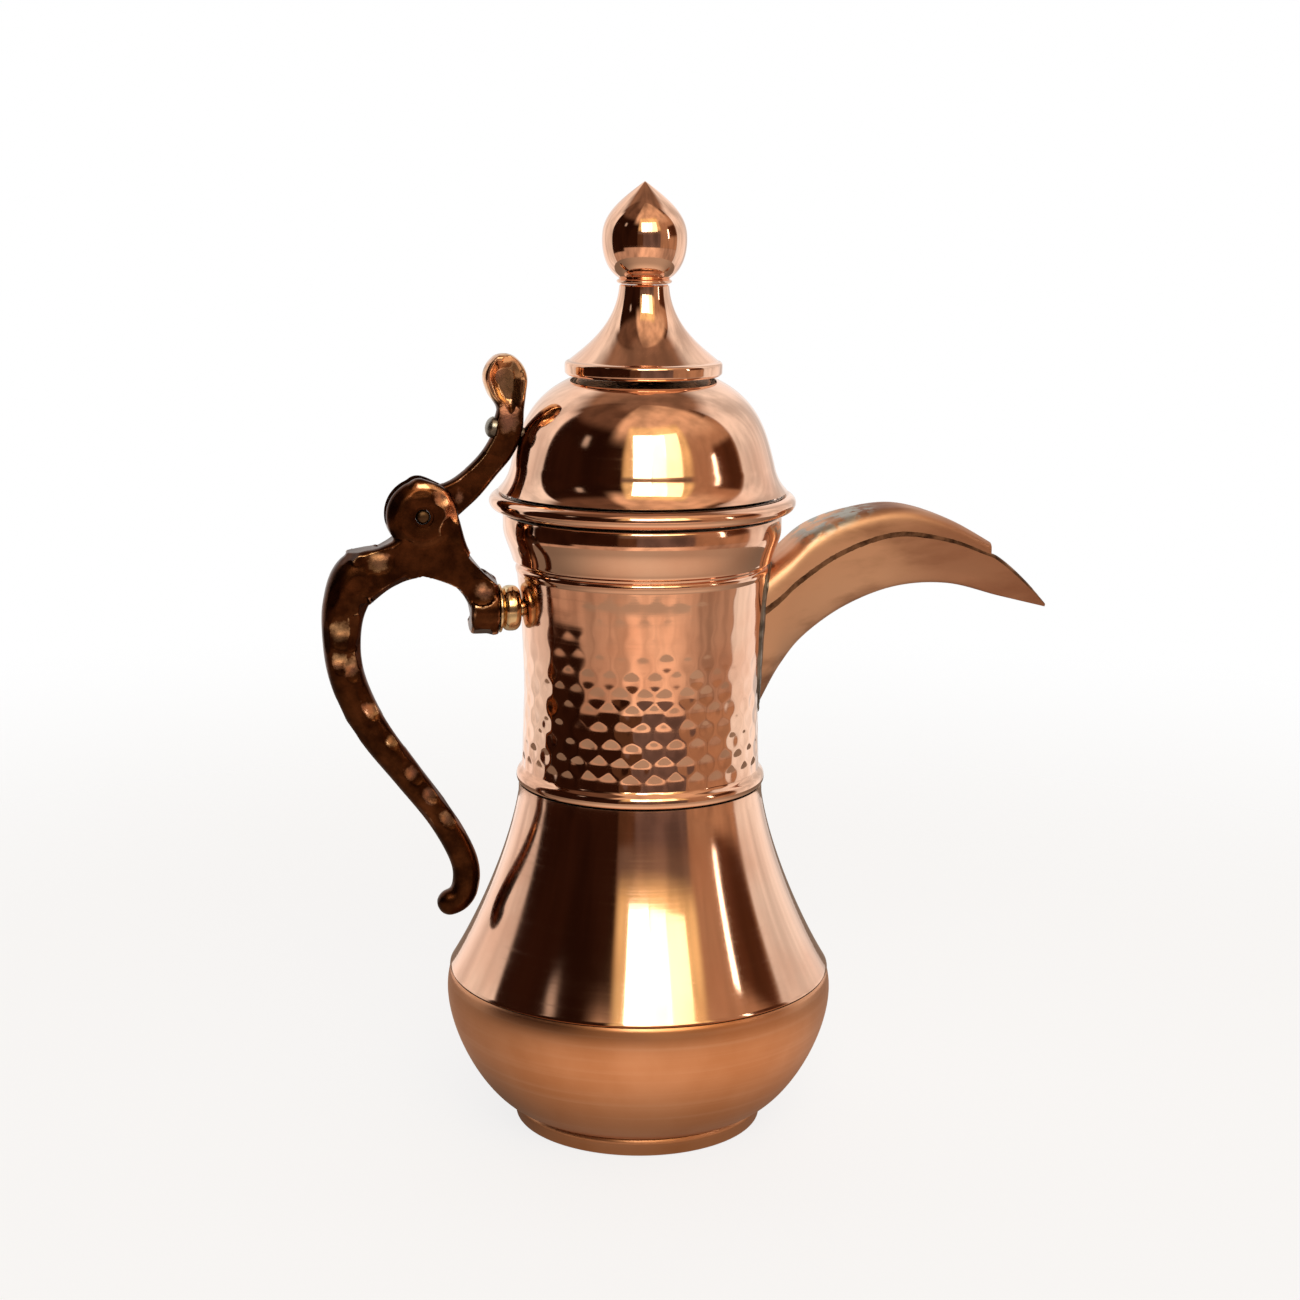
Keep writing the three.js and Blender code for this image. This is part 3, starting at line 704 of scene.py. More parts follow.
def build_spout():
    sheets = (("spout_trough", False, 0.0, TROUGH_WALL), ("spout_cover", True, COVER_LIFT, COVER_WALL))
    for node, cover, lift, thickest in sheets:
        grid = spout_sheet(cover)
        out = grid_normals(grid)
        middle = grid.shape[1] // 2
        if (out[40, middle, 2] > 0) != cover:
            out = -out
        wall = np.minimum(thickest, 0.42 * np.ptp(grid[..., 1], axis=1) + 0.08)[:, None, None]
        outer = grid + out * lift
        inner = outer - out * wall
        points, faces, counts = thickened(outer, inner)
        kinds = np.full(len(faces), SKIN)
        kinds[counts[0]:sum(counts)] = INSIDE
        column = np.arange(counts[0]) % (grid.shape[1] - 1)
        kinds[:counts[0]][(column == 0) | (column == grid.shape[1] - 2)] = EDGE
        kinds[sum(counts):] = EDGE
        piece(node, [(points, faces)], [SPOUT_SKIN, LINING, GRIME], kinds, crease=50)
    build_solder()


def build_solder():
    """Lumpy bead of solder where the spout meets the neck."""
    random = np.random.default_rng(3)
    count = 220
    lumps = np.convolve(np.tile(random.normal(0, 1, count), 3), np.hanning(9) / 4, "same")[count:2 * count]
    rings = []
    for t in np.linspace(0, 2, count, endpoint=False):
        side = 1.0 if t < 1 else -1.0
        round_share = min(t, 2 - t)
        start = where_it_leaves(spout_point(SHARES, np.full(len(SHARES), round_share), side), 0.0)
        root, ahead = spout_point(np.array([start, start + 0.01]), np.full(2, round_share), side)
        along_spout = (ahead - root) / np.linalg.norm(ahead - root)
        rings.append((root, along_spout, np.array([root[0], root[1], 0]) / np.hypot(root[0], root[1])))
    roots = np.array([ring[0] for ring in rings])
    run = np.roll(roots, -1, 0) - np.roll(roots, 1, 0)
    grid = []
    for (root, along_spout, out), forward, lump in zip(rings, run, lumps):
        forward = forward / np.linalg.norm(forward)
        aside = np.cross(out, forward)
        aside /= np.linalg.norm(aside)
        if aside @ (root - np.array([root[0], 0, 160])) < 0:
            aside = -aside
        wide = 1.75 + 0.28 * lump
        proud = 0.75 + 0.16 * lump
        grid.append([root + aside * wide - out * 0.5,
                     root + aside * wide * 0.75 + out * 0.42,
                     root + aside * 0.55 + out * proud,
                     root + along_spout * wide * 0.8 + aside * 0.5,
                     root + along_spout * wide - aside * 0.4,
                     root - out * 0.6 - aside * 0.4])
    share = np.linspace(0, 1, 19)[:-1]
    sections = np.array([curve(np.vstack([ring, ring[:1]]), share) for ring in grid])
    faces = quads(count, len(share), wrap_rows=True)
    piece("spout_solder", [(sections.reshape(-1, 3), faces)], [SOLDER], crease=80)


# ---- castings
# Centre line (x, z) of the grip with its half width in the side view, from head to tail.
GRIP = [(-76, 173.5, 6.0), (-84.3, 171.3, 7.4), (-88.6, 163, 6.5), (-89.7, 153, 5.65), (-88.6, 142.5, 5.3),
        (-84.6, 131.5, 5.2), (-79, 122, 4.9), (-70.5, 110.3, 4.4), (-61, 97.2, 4.1), (-54.6, 85, 4.1),
        (-53.5, 77, 4.1), (-56, 71.6, 4.0), (-62.3, 69.6, 3.9)]
GRIP_THICKNESS = 0.86  # half thickness over half width
# Outline (x, z) of the clevis head, along its top and back along its underside.
HEAD_UPPER = [(-88.0, 178.4), (-83, 179.3), (-78.4, 180.2), (-73.2, 183.6), (-73.4, 191), (-70, 198.6),
              (-65.6, 200), (-60.2, 196.8), (-55.9, 190), (-52.8, 179.6), (-48.2, 172.8), (-43.7, 169.4)]
HEAD_LOWER = [(-43.7, 153.4), (-47.2, 153.6), (-50.9, 159), (-55.6, 166.8), (-65.6, 170.8), (-74.4, 168.6),
              (-82, 163)]
KNUCKLE = 10.6  # radius of the round boss about the pin
CHEEK = 6.7  # half width of the head there


def plate_rings(outline, levels):
    """A plate in the XZ plane: its outline moved in by each level's inset, at that level's half thickness."""
    outline = np.array(outline, float)
    run = np.roll(outline, -1, 0) - np.roll(outline, 1, 0)
    inward = np.stack([run[:, 1], -run[:, 0]], -1) / np.linalg.norm(run, axis=1)[:, None]
    area = np.sum(outline[:, 0] * np.roll(outline[:, 1], -1) - np.roll(outline[:, 0], -1) * outline[:, 1])
    if area > 0:
        inward = -inward
    rings = []
    for inset, y in levels:
        moved = outline + inward * inset
        rings.append(np.stack([moved[:, 0], np.full(len(moved), y), moved[:, 1]], -1))
    return lofted(rings)


def bevelled(half, bevel):
    """Levels of a plate with rounded edges, for plate_rings."""
    turn = np.radians([0, 22.5, 45, 67.5, 90])
    upper = [(bevel * (1 - math.cos(t)), half - bevel * (1 - math.sin(t))) for t in turn]
    return [(i, -y) for i, y in reversed(upper)] + upper


def grip_rings(stations=150, facets=40):
    share = np.linspace(0, 1, stations + 1)
    line = curve(GRIP, share)
    run = np.gradient(line[:, :2], axis=0)
    run /= np.linalg.norm(run, axis=1)[:, None]
    turn = 2 * math.pi * np.arange(facets) / facets
    rings = []
    for k in range(stations + 1):
        left = np.linalg.norm(line[k, :2] - line[-1, :2])
        half = line[k, 2]
        if k > stations / 2 and left < half:
            half = max(math.sqrt(max(half**2 - (half - left) ** 2, 0)), 0.25)
        across = half * np.sign(np.cos(turn)) * np.abs(np.cos(turn)) ** 0.85
        thick = half * GRIP_THICKNESS * np.sign(np.sin(turn)) * np.abs(np.sin(turn)) ** 0.85
        rings.append(np.stack([line[k, 0] - run[k, 1] * across, thick, line[k, 1] + run[k, 0] * across], -1))
    return lofted(rings)


def remade(name, shapes, voxel, smoothing):
    """One smooth skin round overlapping shapes, as a casting has."""
    obj = mesh_of(name, shapes, [BRONZE])
    applied(obj, "REMESH", mode="VOXEL", voxel_size=voxel * MM, use_smooth_shade=True)
    points = vertices(obj)
    for _ in range(smoothing):
        points = 0.5 * points + 0.5 * neighbour_mean(obj, points)
    set_vertices(obj, points)
    return obj


def struck(obj, blows):
    """Hammers shallow facets into a casting. Each blow is (centre, reach, depth). Returns how bright to paint
    each facet, as a painted highlight.
    """
    points, out = vertices(obj), normals(obj)
    shine = np.zeros(len(points))
    for (x, y, z), reach, depth in blows:
        face = np.argmin(np.sum((points - np.array([x, y, z])) ** 2, axis=1))
        centre, normal = points[face], out[face]
        away = points - centre
        height = away @ normal
        far = np.linalg.norm(away - height[:, None] * normal, axis=1) / reach
        limit = depth * (0.55 * far**2 - 1)
        hit = (far < 1.35) & (height > limit) & (np.abs(height) < 3) & (out @ normal > 0.2)
        points[hit] -= (height - limit)[hit, None] * normal
        # Painted highlight: each facet is painted brightest at its middle.
        shine[hit] = np.maximum(shine[hit], 1 - 0.5 * far[hit])
    set_vertices(obj, points)
    return shine


def mark_wear_and_sheen(obj, shine):
    """Stores how bright each vertex is: worn bright on convex edges, and painted highlights where shine says.
    """
    points, out = vertices(obj), normals(obj)
    bulge = np.sum((points - neighbour_mean(obj, points)) * out, axis=1)
    for _ in range(3):
        bulge = 0.4 * bulge + 0.6 * neighbour_mean(obj, bulge)
    # Real wear, bright on convex edges; the painted highlights from shine are joined to it below.
    wear_and_sheen = np.clip(bulge / max(np.percentile(bulge, 99), 1e-9), 0, 1) * 0.75
    layer = obj.data.attributes.new("wear_and_sheen", "FLOAT", "POINT")
    layer.data.foreach_set("value", np.maximum(wear_and_sheen, shine).astype(np.float32))


def random_blows(obj, count, reach, depth, seed):
    random = np.random.default_rng(seed)
    points = vertices(obj)
    chosen = points[random.integers(0, len(points), count)]
    return [(tuple(p), reach * random.uniform(0.7, 1.2), depth * random.uniform(0.5, 1.2)) for p in chosen]


# Blows that the light picks out on the near side of the handle, each with a painted highlight on its facet:
# (x, z), reach, depth.
BRIGHT_BLOWS = [((-90.5, 155.0), 4.0, 0.9), ((-91.5, 146.5), 3.2, 0.6), ((-86.3, 144.8), 3.2, 0.7),
                ((-80.5, 133.0), 2.6, 0.5), ((-74.5, 123.0), 2.4, 0.5), ((-69.0, 112.5), 3.0, 0.5),
                ((-64.0, 106.0), 3.0, 0.5), ((-59.0, 98.0), 3.0, 0.5), ((-79.0, 176.5), 3.6, 0.7),
                ((-48.8, 166.5), 3.0, 0.6), ((-60.5, 194.5), 3.2, 0.6), ((-57.2, 190.0), 2.8, 0.5)]


def pin_hole():
    return rod("y", PIN_RADIUS + 0.25, -12, 12, PIN_AT, 0, 32)


def build_handle():
    outline = np.vstack([along(HEAD_UPPER, 60), along(HEAD_LOWER, 40)])
    disc = softened([(0, -CHEEK + 0.6), (4.2, -CHEEK + 0.1), (7.6, -CHEEK), (KNUCKLE, -CHEEK + 2.6),
                     (KNUCKLE, CHEEK - 2.6), (7.6, CHEEK), (4.2, CHEEK - 0.1), (0, CHEEK - 0.6)], 1.2)
    knuckle = laid(turned(disc, FINE), "y", PIN_AT)
    boss = rod("x", 7.4, -52, high("handle")[0], (0, STUD_Z), 1.2)
    shapes = [plate_rings(outline, bevelled(5.9, 2.2)), grip_rings(), knuckle, boss]
    handle = remade("handle_fine", shapes, 0.42, 3)
    struck(handle, random_blows(handle, 80, 4.4, 0.26, 11))
    near, far_side = ([((x, y, z), reach, depth) for (x, z), reach, depth in BRIGHT_BLOWS] for y in (-8, 8))
    # The bright blows get painted highlights: full on the near side, half on the far side.
    shine = struck(handle, near)
    shine += 0.5 * struck(handle, far_side)
    # Painted highlight: a bright band round the knuckle's rim on its upper right side, on the cheeks.
    points = vertices(handle)
    far = np.hypot(points[:, 0] - PIN[0], points[:, 2] - PIN[2])
    facing = (points[:, 0] - PIN[0] + points[:, 2] - PIN[2]) / np.maximum(far, 1)
    shine += np.exp(-(((far - 9.2) / 0.9) ** 2)) * np.clip(facing - 0.3, 0, 1) * (np.abs(points[:, 1]) > 4)
    mark_wear_and_sheen(handle, np.clip(shine, 0, 1))
    cuts = [box_shape((-84, -SLOT_HALF, PIN[2] - 2.5), (-46, SLOT_HALF, PIN[2] + 22)),
            rod("y", 9.3, -SLOT_HALF, SLOT_HALF, PIN_AT, 0), pin_hole()]
    cuts += [rod("y", PIN_RADIUS + 1.1, a, b, PIN_AT, 0, 32) for a, b in ((-12, -5.4), (5.4, 12))]
    for cut in cuts:
        carved(handle, [cut], 40)
    placed(handle, "handle")


def box_shape(a, b):
    corners = [(x, y, z) for x in (a[0], b[0]) for y in (a[1], b[1]) for z in (a[2], b[2])]
    faces = [(0, 1, 3, 2), (4, 6, 7, 5), (0, 4, 5, 1), (2, 3, 7, 6), (0, 2, 6, 4), (1, 5, 7, 3)]
    return np.array(corners, float), faces


# The lever's edges (x, z), from the eye to the tip of the leaf. Points at the same place pair up.
LEVER_BACK = [(-66, 196.6), (-60.5, 197.8), (-55.6, 200.1), (-49.2, 205.9), (-45.4, 211.7), (-44.6, 216),
              (-43.8, 220), (-46.4, 224.2), (-47.8, 228.6), (-46.9, 232.2), (-44.6, 234.8), (-42.2, 235.7)]
LEVER_FRONT = [(-59, 185), (-53.6, 189.8), (-48.9, 194.1), (-44, 199.9), (-38.8, 206.2), (-36.1, 213),
               (-35.6, 219.4), (-35, 224.2), (-34.6, 228.6), (-35.9, 232.2), (-38.4, 234.8), (-40.8, 235.7)]


def lever_rings(stations=120, facets=48):
    share = np.linspace(0, 1, stations + 1)
    back, front = curve(LEVER_BACK, share), curve(LEVER_FRONT, share)
    middle, half = (back + front) / 2, (front - back) / 2
    width = np.linalg.norm(half, axis=1)
    travelled = np.concatenate([[0], np.cumsum(np.linalg.norm(np.diff(middle, axis=0), axis=1))])
    left = travelled[-1] - travelled
    turn = 2 * math.pi * np.arange(facets) / facets
    rings = []
    for k in range(stations + 1):
        leaf = np.clip((share[k] - 0.50) / 0.10, 0, 1)
        across = np.sign(np.cos(turn)) * np.abs(np.cos(turn)) ** (0.55 + 0.25 * leaf)
        edge = np.minimum((1 - np.abs(across)) * width[k], left[k])
        flank = np.sqrt(np.clip(1 - (1 - np.minimum(edge / 1.3, 1)) ** 2, 0, 1))
        rim = 3.3 - 1.9 * np.clip((edge - 1.5) / 2.6, 0, 1) ** 1.2
        thick = flank * ((1 - leaf) * EYE_HALF + leaf * rim)
        y = np.sign(np.sin(turn)) * np.maximum(thick, 0.15)
        x, z = (middle[k, axis] + half[k, axis] * across for axis in (0, 1))
        rings.append(np.stack([x, y, z], -1))
    return lofted(rings)


def build_lever():
    eye = softened([(0, -EYE_HALF), (8.6, -EYE_HALF), (8.6, EYE_HALF), (0, EYE_HALF)], 0.8)
    lever = remade("lid_lever_fine", [lever_rings(), laid(turned(eye, FINE), "y", PIN_AT)], 0.26, 2)
    struck(lever, random_blows(lever, 40, 2.6, 0.14, 5))
    # Painted highlights on three facets of the leaf.
    shine = struck(lever, [((-40.4, -4, 216.5), 3.4, 0.25), ((-37.0, -4, 226.0), 2.0, 0.15),
                           ((-45.6, -4, 226.0), 2.0, 0.15)])
    points = vertices(lever)
    # Painted highlight at the lever's root, and painted sheen over the upper leaf.
    painted_root_highlight = np.exp(-(((points[:, 0] + 55) / 2.6) ** 2) - ((points[:, 2] - 194) / 3.0) ** 2)
    leaf = np.clip((points[:, 2] - 217) / 6, 0, 1) * 0.8
    mark_wear_and_sheen(lever, np.clip(shine + 0.8 * painted_root_highlight + leaf, 0, 1))
    carved(lever, [pin_hole()], 40)
    placed(lever, "lid_lever")


# ---- lid


def dome_profile():
    shoulder = (38.9, DOME_Z + 8.2)
    t = np.linspace(0, 1, 15)[:, None]
    foot, pull = np.array((DOME_RADIUS, DOME_Z)), np.array((39.8, DOME_Z + 3.1))
    flare = (1 - t) ** 2 * foot + 2 * t * (1 - t) * pull + t**2 * np.array(shoulder)
    crown = bezier(shoulder, (36.6, 212), (34.5, 222.8), (20, DOME_TOP), 44)
    return np.vstack([flare, crown[1:]])


def build_lid():
    sheet_turned("lid_dome", dome_profile(), POLISHED)
    roll = arc((RIM_RADIUS, RIM_Z), RIM_ROLL, 0, 360, 28)[:-1] * (1, RIM_SQUASH) + (0, RIM_LIFT)
    piece("lid_rim", [turned(roll)], [POLISHED])
    lip, foot, top = high("lid_sleeve")[1], low("lid_sleeve")[2], high("lid_sleeve")[2]
    outer = lip - 1.5
    sleeve = softened([(outer - 1, foot), (outer, foot), (outer, top - 1), (lip, top - 1), (lip, top),
                       (outer - 1, top)], 0.3)
    piece("lid_sleeve", [turned(sleeve)], [LINING])
    build_steeple()
    build_finial()


FINIAL_HOLE = 2.8  # radius of the finial's bore and of the hole in the steeple's top


def build_steeple():
    flange = along([(FLANGE - 0.7, FLANGE_Z), (FLANGE - 0.1, FLANGE_Z + 0.6), (FLANGE, FLANGE_Z + 1.5),
                    (FLANGE, FLANGE_Z + 3.2), (FLANGE - 0.4, FLANGE_Z + 3.9),
                    (FLANGE - 1.2, FLANGE_Z + 4.2)], 20)
    rise = bezier((FLANGE - 1.3, FLANGE_Z + 4.3), (17.3, 237.2), (8.2, 243.4), (7.3, STEEPLE_TOP - 0.4), 44)
    outer = np.vstack([flange, rise[1:]])
    neck_z = STEEPLE_TOP - SHEET
    inner = offset_profile(outer[10:], SHEET)
    under = inner[(inner[:, 1] < neck_z - 0.4) & (inner[:, 0] > FINIAL_HOLE)]
    top = [(6.9, STEEPLE_TOP), (FINIAL_HOLE, STEEPLE_TOP), (FINIAL_HOLE, neck_z), (7.3 - SHEET, neck_z)]
    shape = turned(np.vstack([outer, top, under[::-1]]))
    kinds = outline_rows(shape) >= len(outer) + 2
    piece("lid_steeple", [shape], [POLISHED, LINING], kinds)


def build_finial():
    seat, widest = FINIAL_Z, (BULB, 269.3)
    ring = along([(7.4, seat), (8.0, seat + 0.35), (8.0, seat + 0.9), (7.3, seat + 1.35)], 10)
    lower = bezier((7.3, seat + 1.45), (11.6, seat + 3.9), (12.6, 265.3), widest, 24)
    upper = bezier(widest, (12.2, 275.5), (7.6, 279.5), (0, TIP_Z), 36)
    core = [(0, 262.6), (FINIAL_HOLE, 262), (FINIAL_HOLE, seat)]
    outline = np.vstack([core, ring, lower[1:], upper[1:]])
    piece("lid_finial", [turned(outline, 96)], [POLISHED])


# ---- fastenings


def holed(radius, hole, start, end, soft, segments=FINE):
    return turned(softened([(hole, start), (radius, start), (radius, end), (hole, end)], soft), segments)


def hexagon(radius, hole, start, end, chamfer=0.5):
    """A six-sided nut about Z with chamfered corners."""
    turn = 2 * math.pi * np.arange(48) / 48
    flat = radius * math.cos(math.pi / 6) / np.cos((turn + math.pi / 6) % (math.pi / 3) - math.pi / 6)
    eased, bore = np.minimum(flat, radius * 0.9), np.full(48, hole)
    levels = ((eased, start), (flat, start + chamfer), (flat, end - chamfer), (eased, end), (bore, end),
              (bore, start))
    rings = [np.stack([r * np.cos(turn), r * np.sin(turn), np.full(48, z)], -1) for r, z in levels]
    return np.array(rings).reshape(-1, 3), quads(len(rings), 48, wrap_rows=True)


def build_fastenings():
    bore, at = STUD_RADIUS + 0.05, (0, STUD_Z)
    foot, end = ends("handle_spacer", 0)
    bulge, middle, half = high("handle_spacer")[1], (foot + end) / 2, (end - foot) / 2
    drum = [(bulge - 1.3 * abs(s) ** 3.2, middle + s * half) for s in np.linspace(-1, 1, 17)]
    spacer = turned([(bore, foot), *drum, (bore, end)], FINE)
    piece("handle_spacer", [laid(spacer, "x", at)], [BRASS])
    for node, material, slot in (("handle_washer", BRASS, "tin"), ("backing_washer", DULL_TIN, "tin")):
        disc = holed(high(node)[1], bore, *ends(node, 0), 0.3)
        piece(node, [laid(disc, "x", at)], [material])
    nut = hexagon(high("handle_nut")[2] - STUD_Z, bore, *ends("handle_nut", 0))
    piece("handle_nut", [laid(nut, "x", at)], [BRASS])
    piece("handle_stud", [rod("x", STUD_RADIUS, *ends("handle_stud", 0), at, 0.5)], [BRASS])
    pin = softened([(0, -PIN_HALF), (PIN_RADIUS, -PIN_HALF + 0.5), (PIN_RADIUS, PIN_HALF - 0.5),
                    (0, PIN_HALF)], 0.9)
    piece("hinge_pin", [laid(turned(pin, 40), "y", PIN_AT)], [DARK_BRONZE])
    stud = rod("z", high("finial_stud")[0], *ends("finial_stud", 2), (0, 0), 0.5)
    piece("finial_stud", [stud], [BRASS])
    nut = hexagon(high("finial_nut")[1], high("finial_stud")[0] + 0.05, *ends("finial_nut", 2))
    piece("finial_nut", [nut], [BRASS])
    build_rivet()


RIVET = {"x": -39.6, "z": 213.2, "tilt": 0.2, "radius": 1.6}


def on_rivet(shape):
    """A shape made about Z laid on the rivet's axis, which points out of the side of the dome."""
    turn = np.array(Matrix.Rotation(RIVET["tilt"] - math.pi / 2, 3, "Y"))
    return shape[0] @ turn.T + np.array([RIVET["x"], 0, RIVET["z"]]), shape[1]


def build_rivet():
    r = RIVET["radius"]
    head = arc((0, 4.9), 3.3, 20, 90, 10) * (1, 0.8) + (0, 1.0)
    outline = np.vstack([[(0, -8.4), (r, -8.2), (r, 4.6), (head[0, 0], 4.6)], head])
    piece("lever_rivet", [on_rivet(turned(outline, 40))], [SOLDER])
    piece("rivet_burr", [on_rivet(holed(4.0, r + 0.05, -7.6, -6.6, 0.3, 40))], [DULL_TIN])


def dark_bronze():
    finish = Finish("dark_bronze")
    cloud = finish.noise(300, 4)
    finish.bump(cloud, 0.05)
    return finish.paint(finish.mixed(cloud, (0.05, 0.025, 0.012), (0.16, 0.09, 0.045)),
                        finish.graded(cloud, 0.3, 0.7, 0.3, 0.5))


DARK_BRONZE = dark_bronze()

# ---- studio
VIEW_AZIMUTH = math.radians(12)  # the camera looks this far from +Y towards +X
BACK = Vector((-math.sin(VIEW_AZIMUTH), -math.cos(VIEW_AZIMUTH), 0))
SIDE = Vector((math.cos(VIEW_AZIMUTH), -math.sin(VIEW_AZIMUTH), 0))


def direction(turn, rise):
    """Unit vector: turn degrees to the right of the camera as the object sees it, rise above the horizon."""
    turn, rise = math.radians(turn), math.radians(rise)
    flat = BACK * math.cos(turn) + SIDE * math.sin(turn)
    return flat * math.cos(rise) + Vector((0, 0, math.sin(rise)))


LENS, SENSOR = 65.13, 36.0  # millimetres
CAMERA_PLACE = (-0.1417, -0.6794, 0.2901)
CAMERA_PITCH, CAMERA_ROLL = 11.7, 0.53  # degrees down, and about its own axis
FLOOR_GLOW = 0.82  # share of plain white light mixed into the floor


def build_camera():
    camera = bpy.data.objects.new("camera", bpy.data.cameras.new("camera"))
    bpy.context.scene.collection.objects.link(camera)
    camera.data.lens, camera.data.sensor_width = LENS, SENSOR
    camera.data.clip_start, camera.data.clip_end = 0.05, 30
    pitch = math.radians(CAMERA_PITCH)
    look = -BACK * math.cos(pitch) - Vector((0, 0, math.sin(pitch)))
    turn = look.to_track_quat("-Z", "Y").to_matrix().to_4x4()
    roll = Matrix.Rotation(math.radians(CAMERA_ROLL), 4, "Z")
    camera.matrix_world = Matrix.Translation(CAMERA_PLACE) @ turn @ roll
    bpy.context.scene.camera = camera


def softbox(name, turn, rise, distance, width, height, radiance, colour):
    """A rectangular soft light that faces the pot."""
    light = bpy.data.lights.new(name, "AREA")
    light.shape, light.size, light.size_y = "RECTANGLE", width, height
    light.energy = radiance * math.pi * width * height
    light.color = colour
    lamp = bpy.data.objects.new(name, light)
    bpy.context.scene.collection.objects.link(lamp)
    away = direction(turn, rise)
    place = Matrix.Translation(away * distance + Vector((0, 0, 0.15)))
    lamp.matrix_world = place @ away.to_track_quat("Z", "Y").to_matrix().to_4x4()
    lamp.visible_camera = False


def build_lights():
    panes = (("window_left", 0.0, 0.42, 4.4, (1.0, 0.97, 0.88)),
             ("window_middle", 15.0, 0.34, 3.0, (1.0, 0.91, 0.72)),
             ("window_right", 29.0, 0.38, 2.0, (1.0, 0.86, 0.60)))
    for name, turn, width, radiance, colour in panes:
        softbox(name, turn, 33, 1.6, width, 0.74, radiance, colour)
    softbox("strip", 68, 14, 1.6, 0.10, 0.50, 4.0, (1.0, 0.95, 0.85))


TENT = (1.0, 0.955, 0.92)
# What the copper mirrors: turn from and to, rise from and to, softness of turn and of rise (all degrees)
# and radiance. Each patch lies over those before it, on a white tent that surrounds the pot.
ROOM = {
    "ceiling": (-200, 200, 54, 100, 7, 7, (0.30, 0.18, 0.12)),
    "room": (-98, 98, -36, 62, 2, 2, (0.12, 0.055, 0.028)),
    "left_wall": (-98, -19, -13, 55, 1.5, 1, (0.024, 0.008, 0.004)),
    "ceiling_left": (-110, -25, 48, 78, 5, 6, (0.15, 0.08, 0.05)),
    "right_wall": (40, 98, -13, 50, 3, 1, (0.46, 0.265, 0.16)),
    "right_corner": (70, 97, 3, 26, 3, 3, (0.10, 0.035, 0.015)),
    "table": (-98, 98, -40, -13, 1.5, 0.8, (0.50, 0.33, 0.24)),
    "table_ahead": (-18, 40, -40, -13, 20, 0.8, (1.05, 0.71, 0.51)),
    "dark_edge": (-98, -58, -18, -11, 4, 1.2, (0.024, 0.008, 0.004)),
    "glow": (-32, 88, 40, 84, 7, 9, (0.84, 0.56, 0.37)),
    "sill": (-4, 44, -12.6, 11, 1.2, 0.6, (0.16, 0.105, 0.09)),
    "wall_ahead": (-18, 44, 10, 20, 2, 2, (0.22, 0.145, 0.11)),
    "halo": (-17, 46, 19, 54, 3, 4, (1.20, 0.88, 0.43)),
    "lamp": (-62, -56, 28, 36, 2, 2, (0.70, 0.62, 0.55)),
}


def build_world():
    """A white tent round the pot, open in front on to a dim brown room."""
    world = bpy.data.worlds.new("studio")
    bpy.context.scene.world = world
    world.use_nodes = True
    world.node_tree.nodes.clear()
    nodes = Nodes(world.node_tree)
    towards = nodes.node("ShaderNodeTexCoord").outputs["Generated"]
    turn = nodes.maths("ARCTAN2", nodes.dot(towards, SIDE), nodes.dot(towards, BACK))
    rise = nodes.maths("ARCSINE", nodes.dot(towards, UP))

    def within(value, start, end, soft):
        start, end, soft = (math.radians(v) for v in (start, end, soft))
        after = nodes.graded(value, start - soft, start + soft)
        return nodes.maths("MULTIPLY", after, nodes.graded(value, end - soft, end + soft, 1.0, 0.0))

    colour = TENT
    for left, right, foot, top, soft_turn, soft_rise, radiance in ROOM.values():
        patch = nodes.maths("MULTIPLY", within(turn, left, right, soft_turn),
                            within(rise, foot, top, soft_rise))
        colour = nodes.mixed(patch, colour, radiance)
    drawn = nodes.node("ShaderNodeMapping", {"Vector": towards, "Scale": (1.0, 1.0, 0.3)}).outputs[0]
    cloud = nodes.node("ShaderNodeTexNoise", {"Vector": drawn, "Scale": 4.0, "Detail": 4.0}).outputs[0]
    shade = nodes.graded(cloud, 0.3, 0.7, 0.66, 1.18)
    colour = nodes.node("ShaderNodeVectorMath", {0: colour, "Scale": shade}, operation="SCALE").outputs[0]
    seen = nodes.node("ShaderNodeLightPath").outputs["Is Camera Ray"]
    colour = nodes.mixed(seen, colour, (1.0, 1.0, 1.0))
    background = nodes.node("ShaderNodeBackground", {"Color": colour, "Strength": 1.0})
    nodes.node("ShaderNodeOutputWorld", {"Surface": background.outputs[0]})


def disc_mesh(name, radius, z):
    bm = bmesh.new()
    place = Matrix.Translation((0, 0, z))
    bmesh.ops.create_circle(bm, cap_ends=True, segments=96, radius=radius, matrix=place)
    return object_of(name, bm, [], 30)


def surface_nodes(obj, name):
    """The nodes of a new material for the object, and its Principled shader."""
    material = bpy.data.materials.new(name)
    material.use_nodes = True
    obj.data.materials.append(material)
    return Nodes(material.node_tree), material.node_tree.nodes["Principled BSDF"]


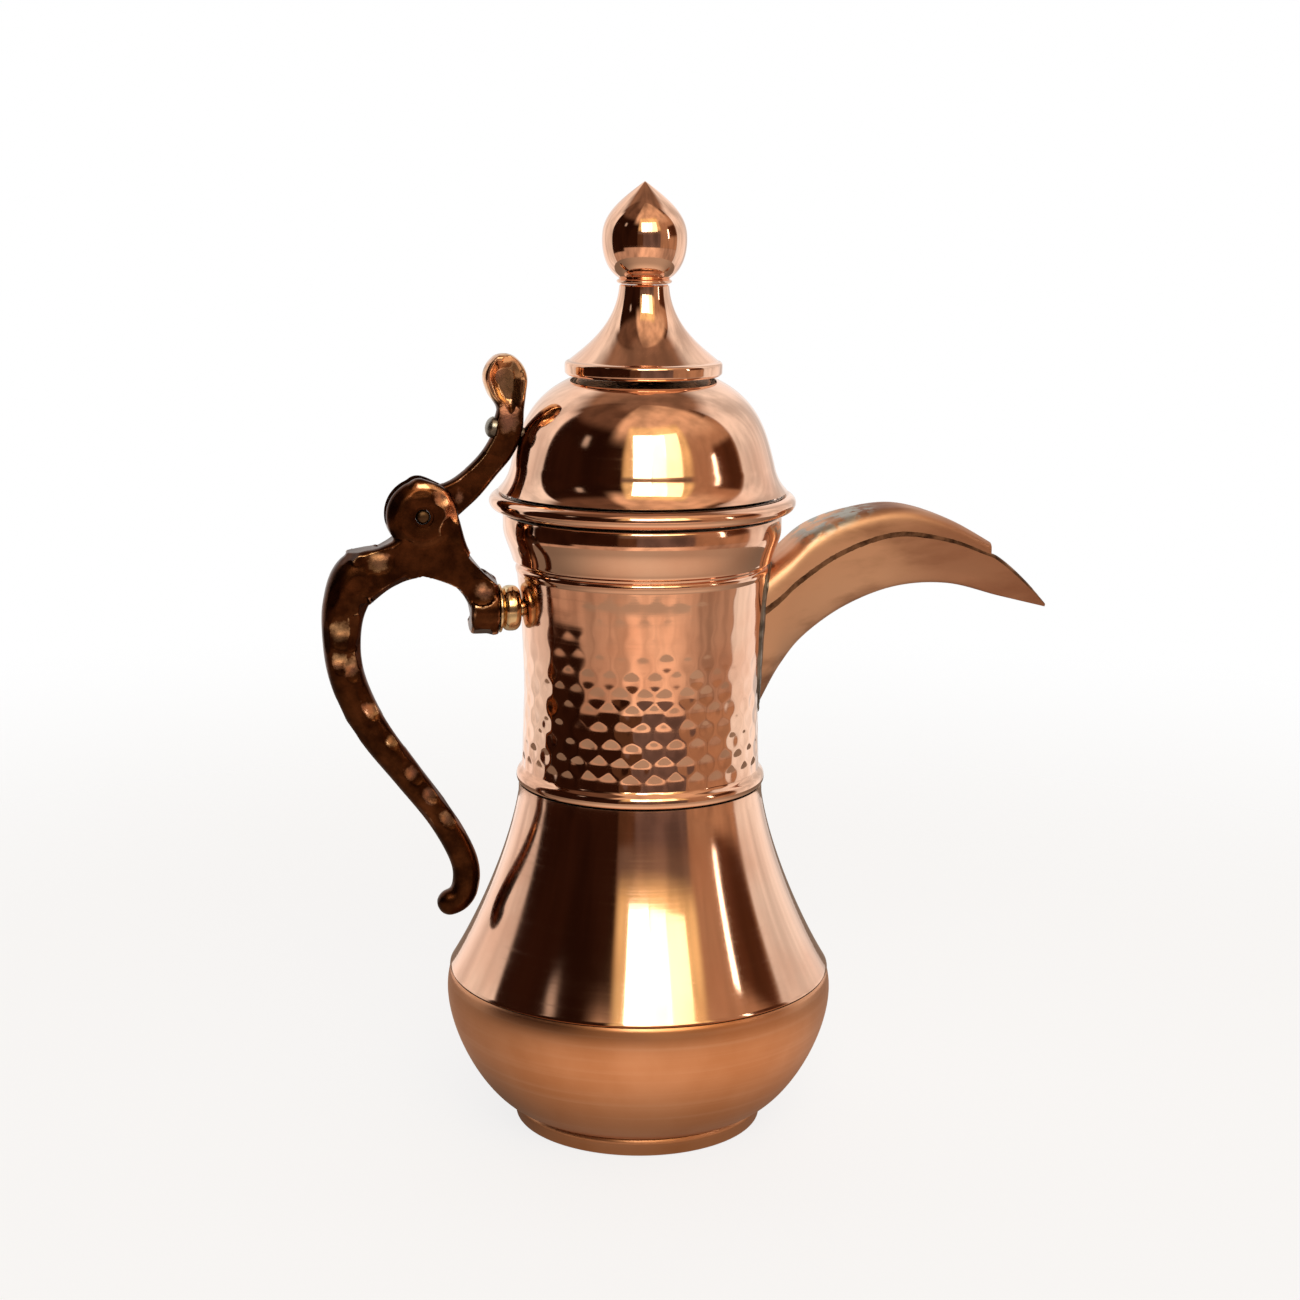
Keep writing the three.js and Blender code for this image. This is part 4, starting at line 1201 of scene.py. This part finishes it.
def build_floor():
    """A pale floor that fades into the backdrop."""
    floor = disc_mesh("floor", 2.0, -0.0004)
    nodes, shader = surface_nodes(floor, "pale_floor")
    shader.inputs["Base Color"].default_value = (0.86, 0.855, 0.85, 1)
    shader.inputs["Roughness"].default_value = 0.7
    place = nodes.node("ShaderNodeTexCoord").outputs["Object"]
    lift = nodes.node("ShaderNodeEmission", {"Color": (1.0, 1.0, 1.0, 1)}).outputs[0]
    lifted = nodes.node("ShaderNodeMixShader", {0: FLOOR_GLOW, 1: shader.outputs[0], 2: lift}).outputs[0]
    clear = nodes.node("ShaderNodeBsdfTransparent").outputs[0]
    fade = nodes.graded(nodes.length(place), 0.25, 0.8)
    blend = nodes.node("ShaderNodeMixShader", {0: fade, 1: lifted, 2: clear}).outputs[0]
    nodes.tree.links.new(blend, nodes.tree.nodes["Material Output"].inputs["Surface"])
    floor.visible_glossy = False


def build_table_glow():
    """A glowing disc that stands in for the lit, warm table that the copper mirrors, with painted shade near
    the pot's foot and far out, and painted light on the side towards the window lights. Only reflections show
    it.
    """
    table = disc_mesh("table_glow", 0.45, -0.0008)
    nodes, shader = surface_nodes(table, "table_glow")
    nodes.tree.nodes.remove(shader)
    place = nodes.node("ShaderNodeTexCoord").outputs["Object"]
    away = nodes.length(place)
    # Painted shade: dimmer close to the pot's foot and far out. Painted light: brighter on the side towards
    # the window lights.
    shaded = nodes.maths("MULTIPLY", nodes.graded(away, 0.041, 0.09, 0.32, 0.95),
                         nodes.graded(away, 0.12, 0.28, 1.0, 0.55))
    nearer = nodes.node("ShaderNodeVectorMath", {0: place}, operation="NORMALIZE").outputs[0]
    lit = nodes.graded(nodes.dot(nearer, direction(22, 0)), -0.3, 1.0, 0.45, 1.0)
    strength = nodes.maths("MULTIPLY", shaded, lit)
    emit = nodes.node("ShaderNodeEmission", {"Color": (1.0, 0.78, 0.61, 1), "Strength": strength}).outputs[0]
    nodes.tree.links.new(emit, nodes.tree.nodes["Material Output"].inputs["Surface"])
    table.visible_camera = table.visible_diffuse = table.visible_shadow = False


# ---- the whole
build_camera()
build_world()
build_lights()
build_floor()
build_table_glow()
build_body()
build_spout()
build_handle()
build_lid()
build_lever()
build_fastenings()
bpy.context.scene.view_settings.view_transform = "Standard"
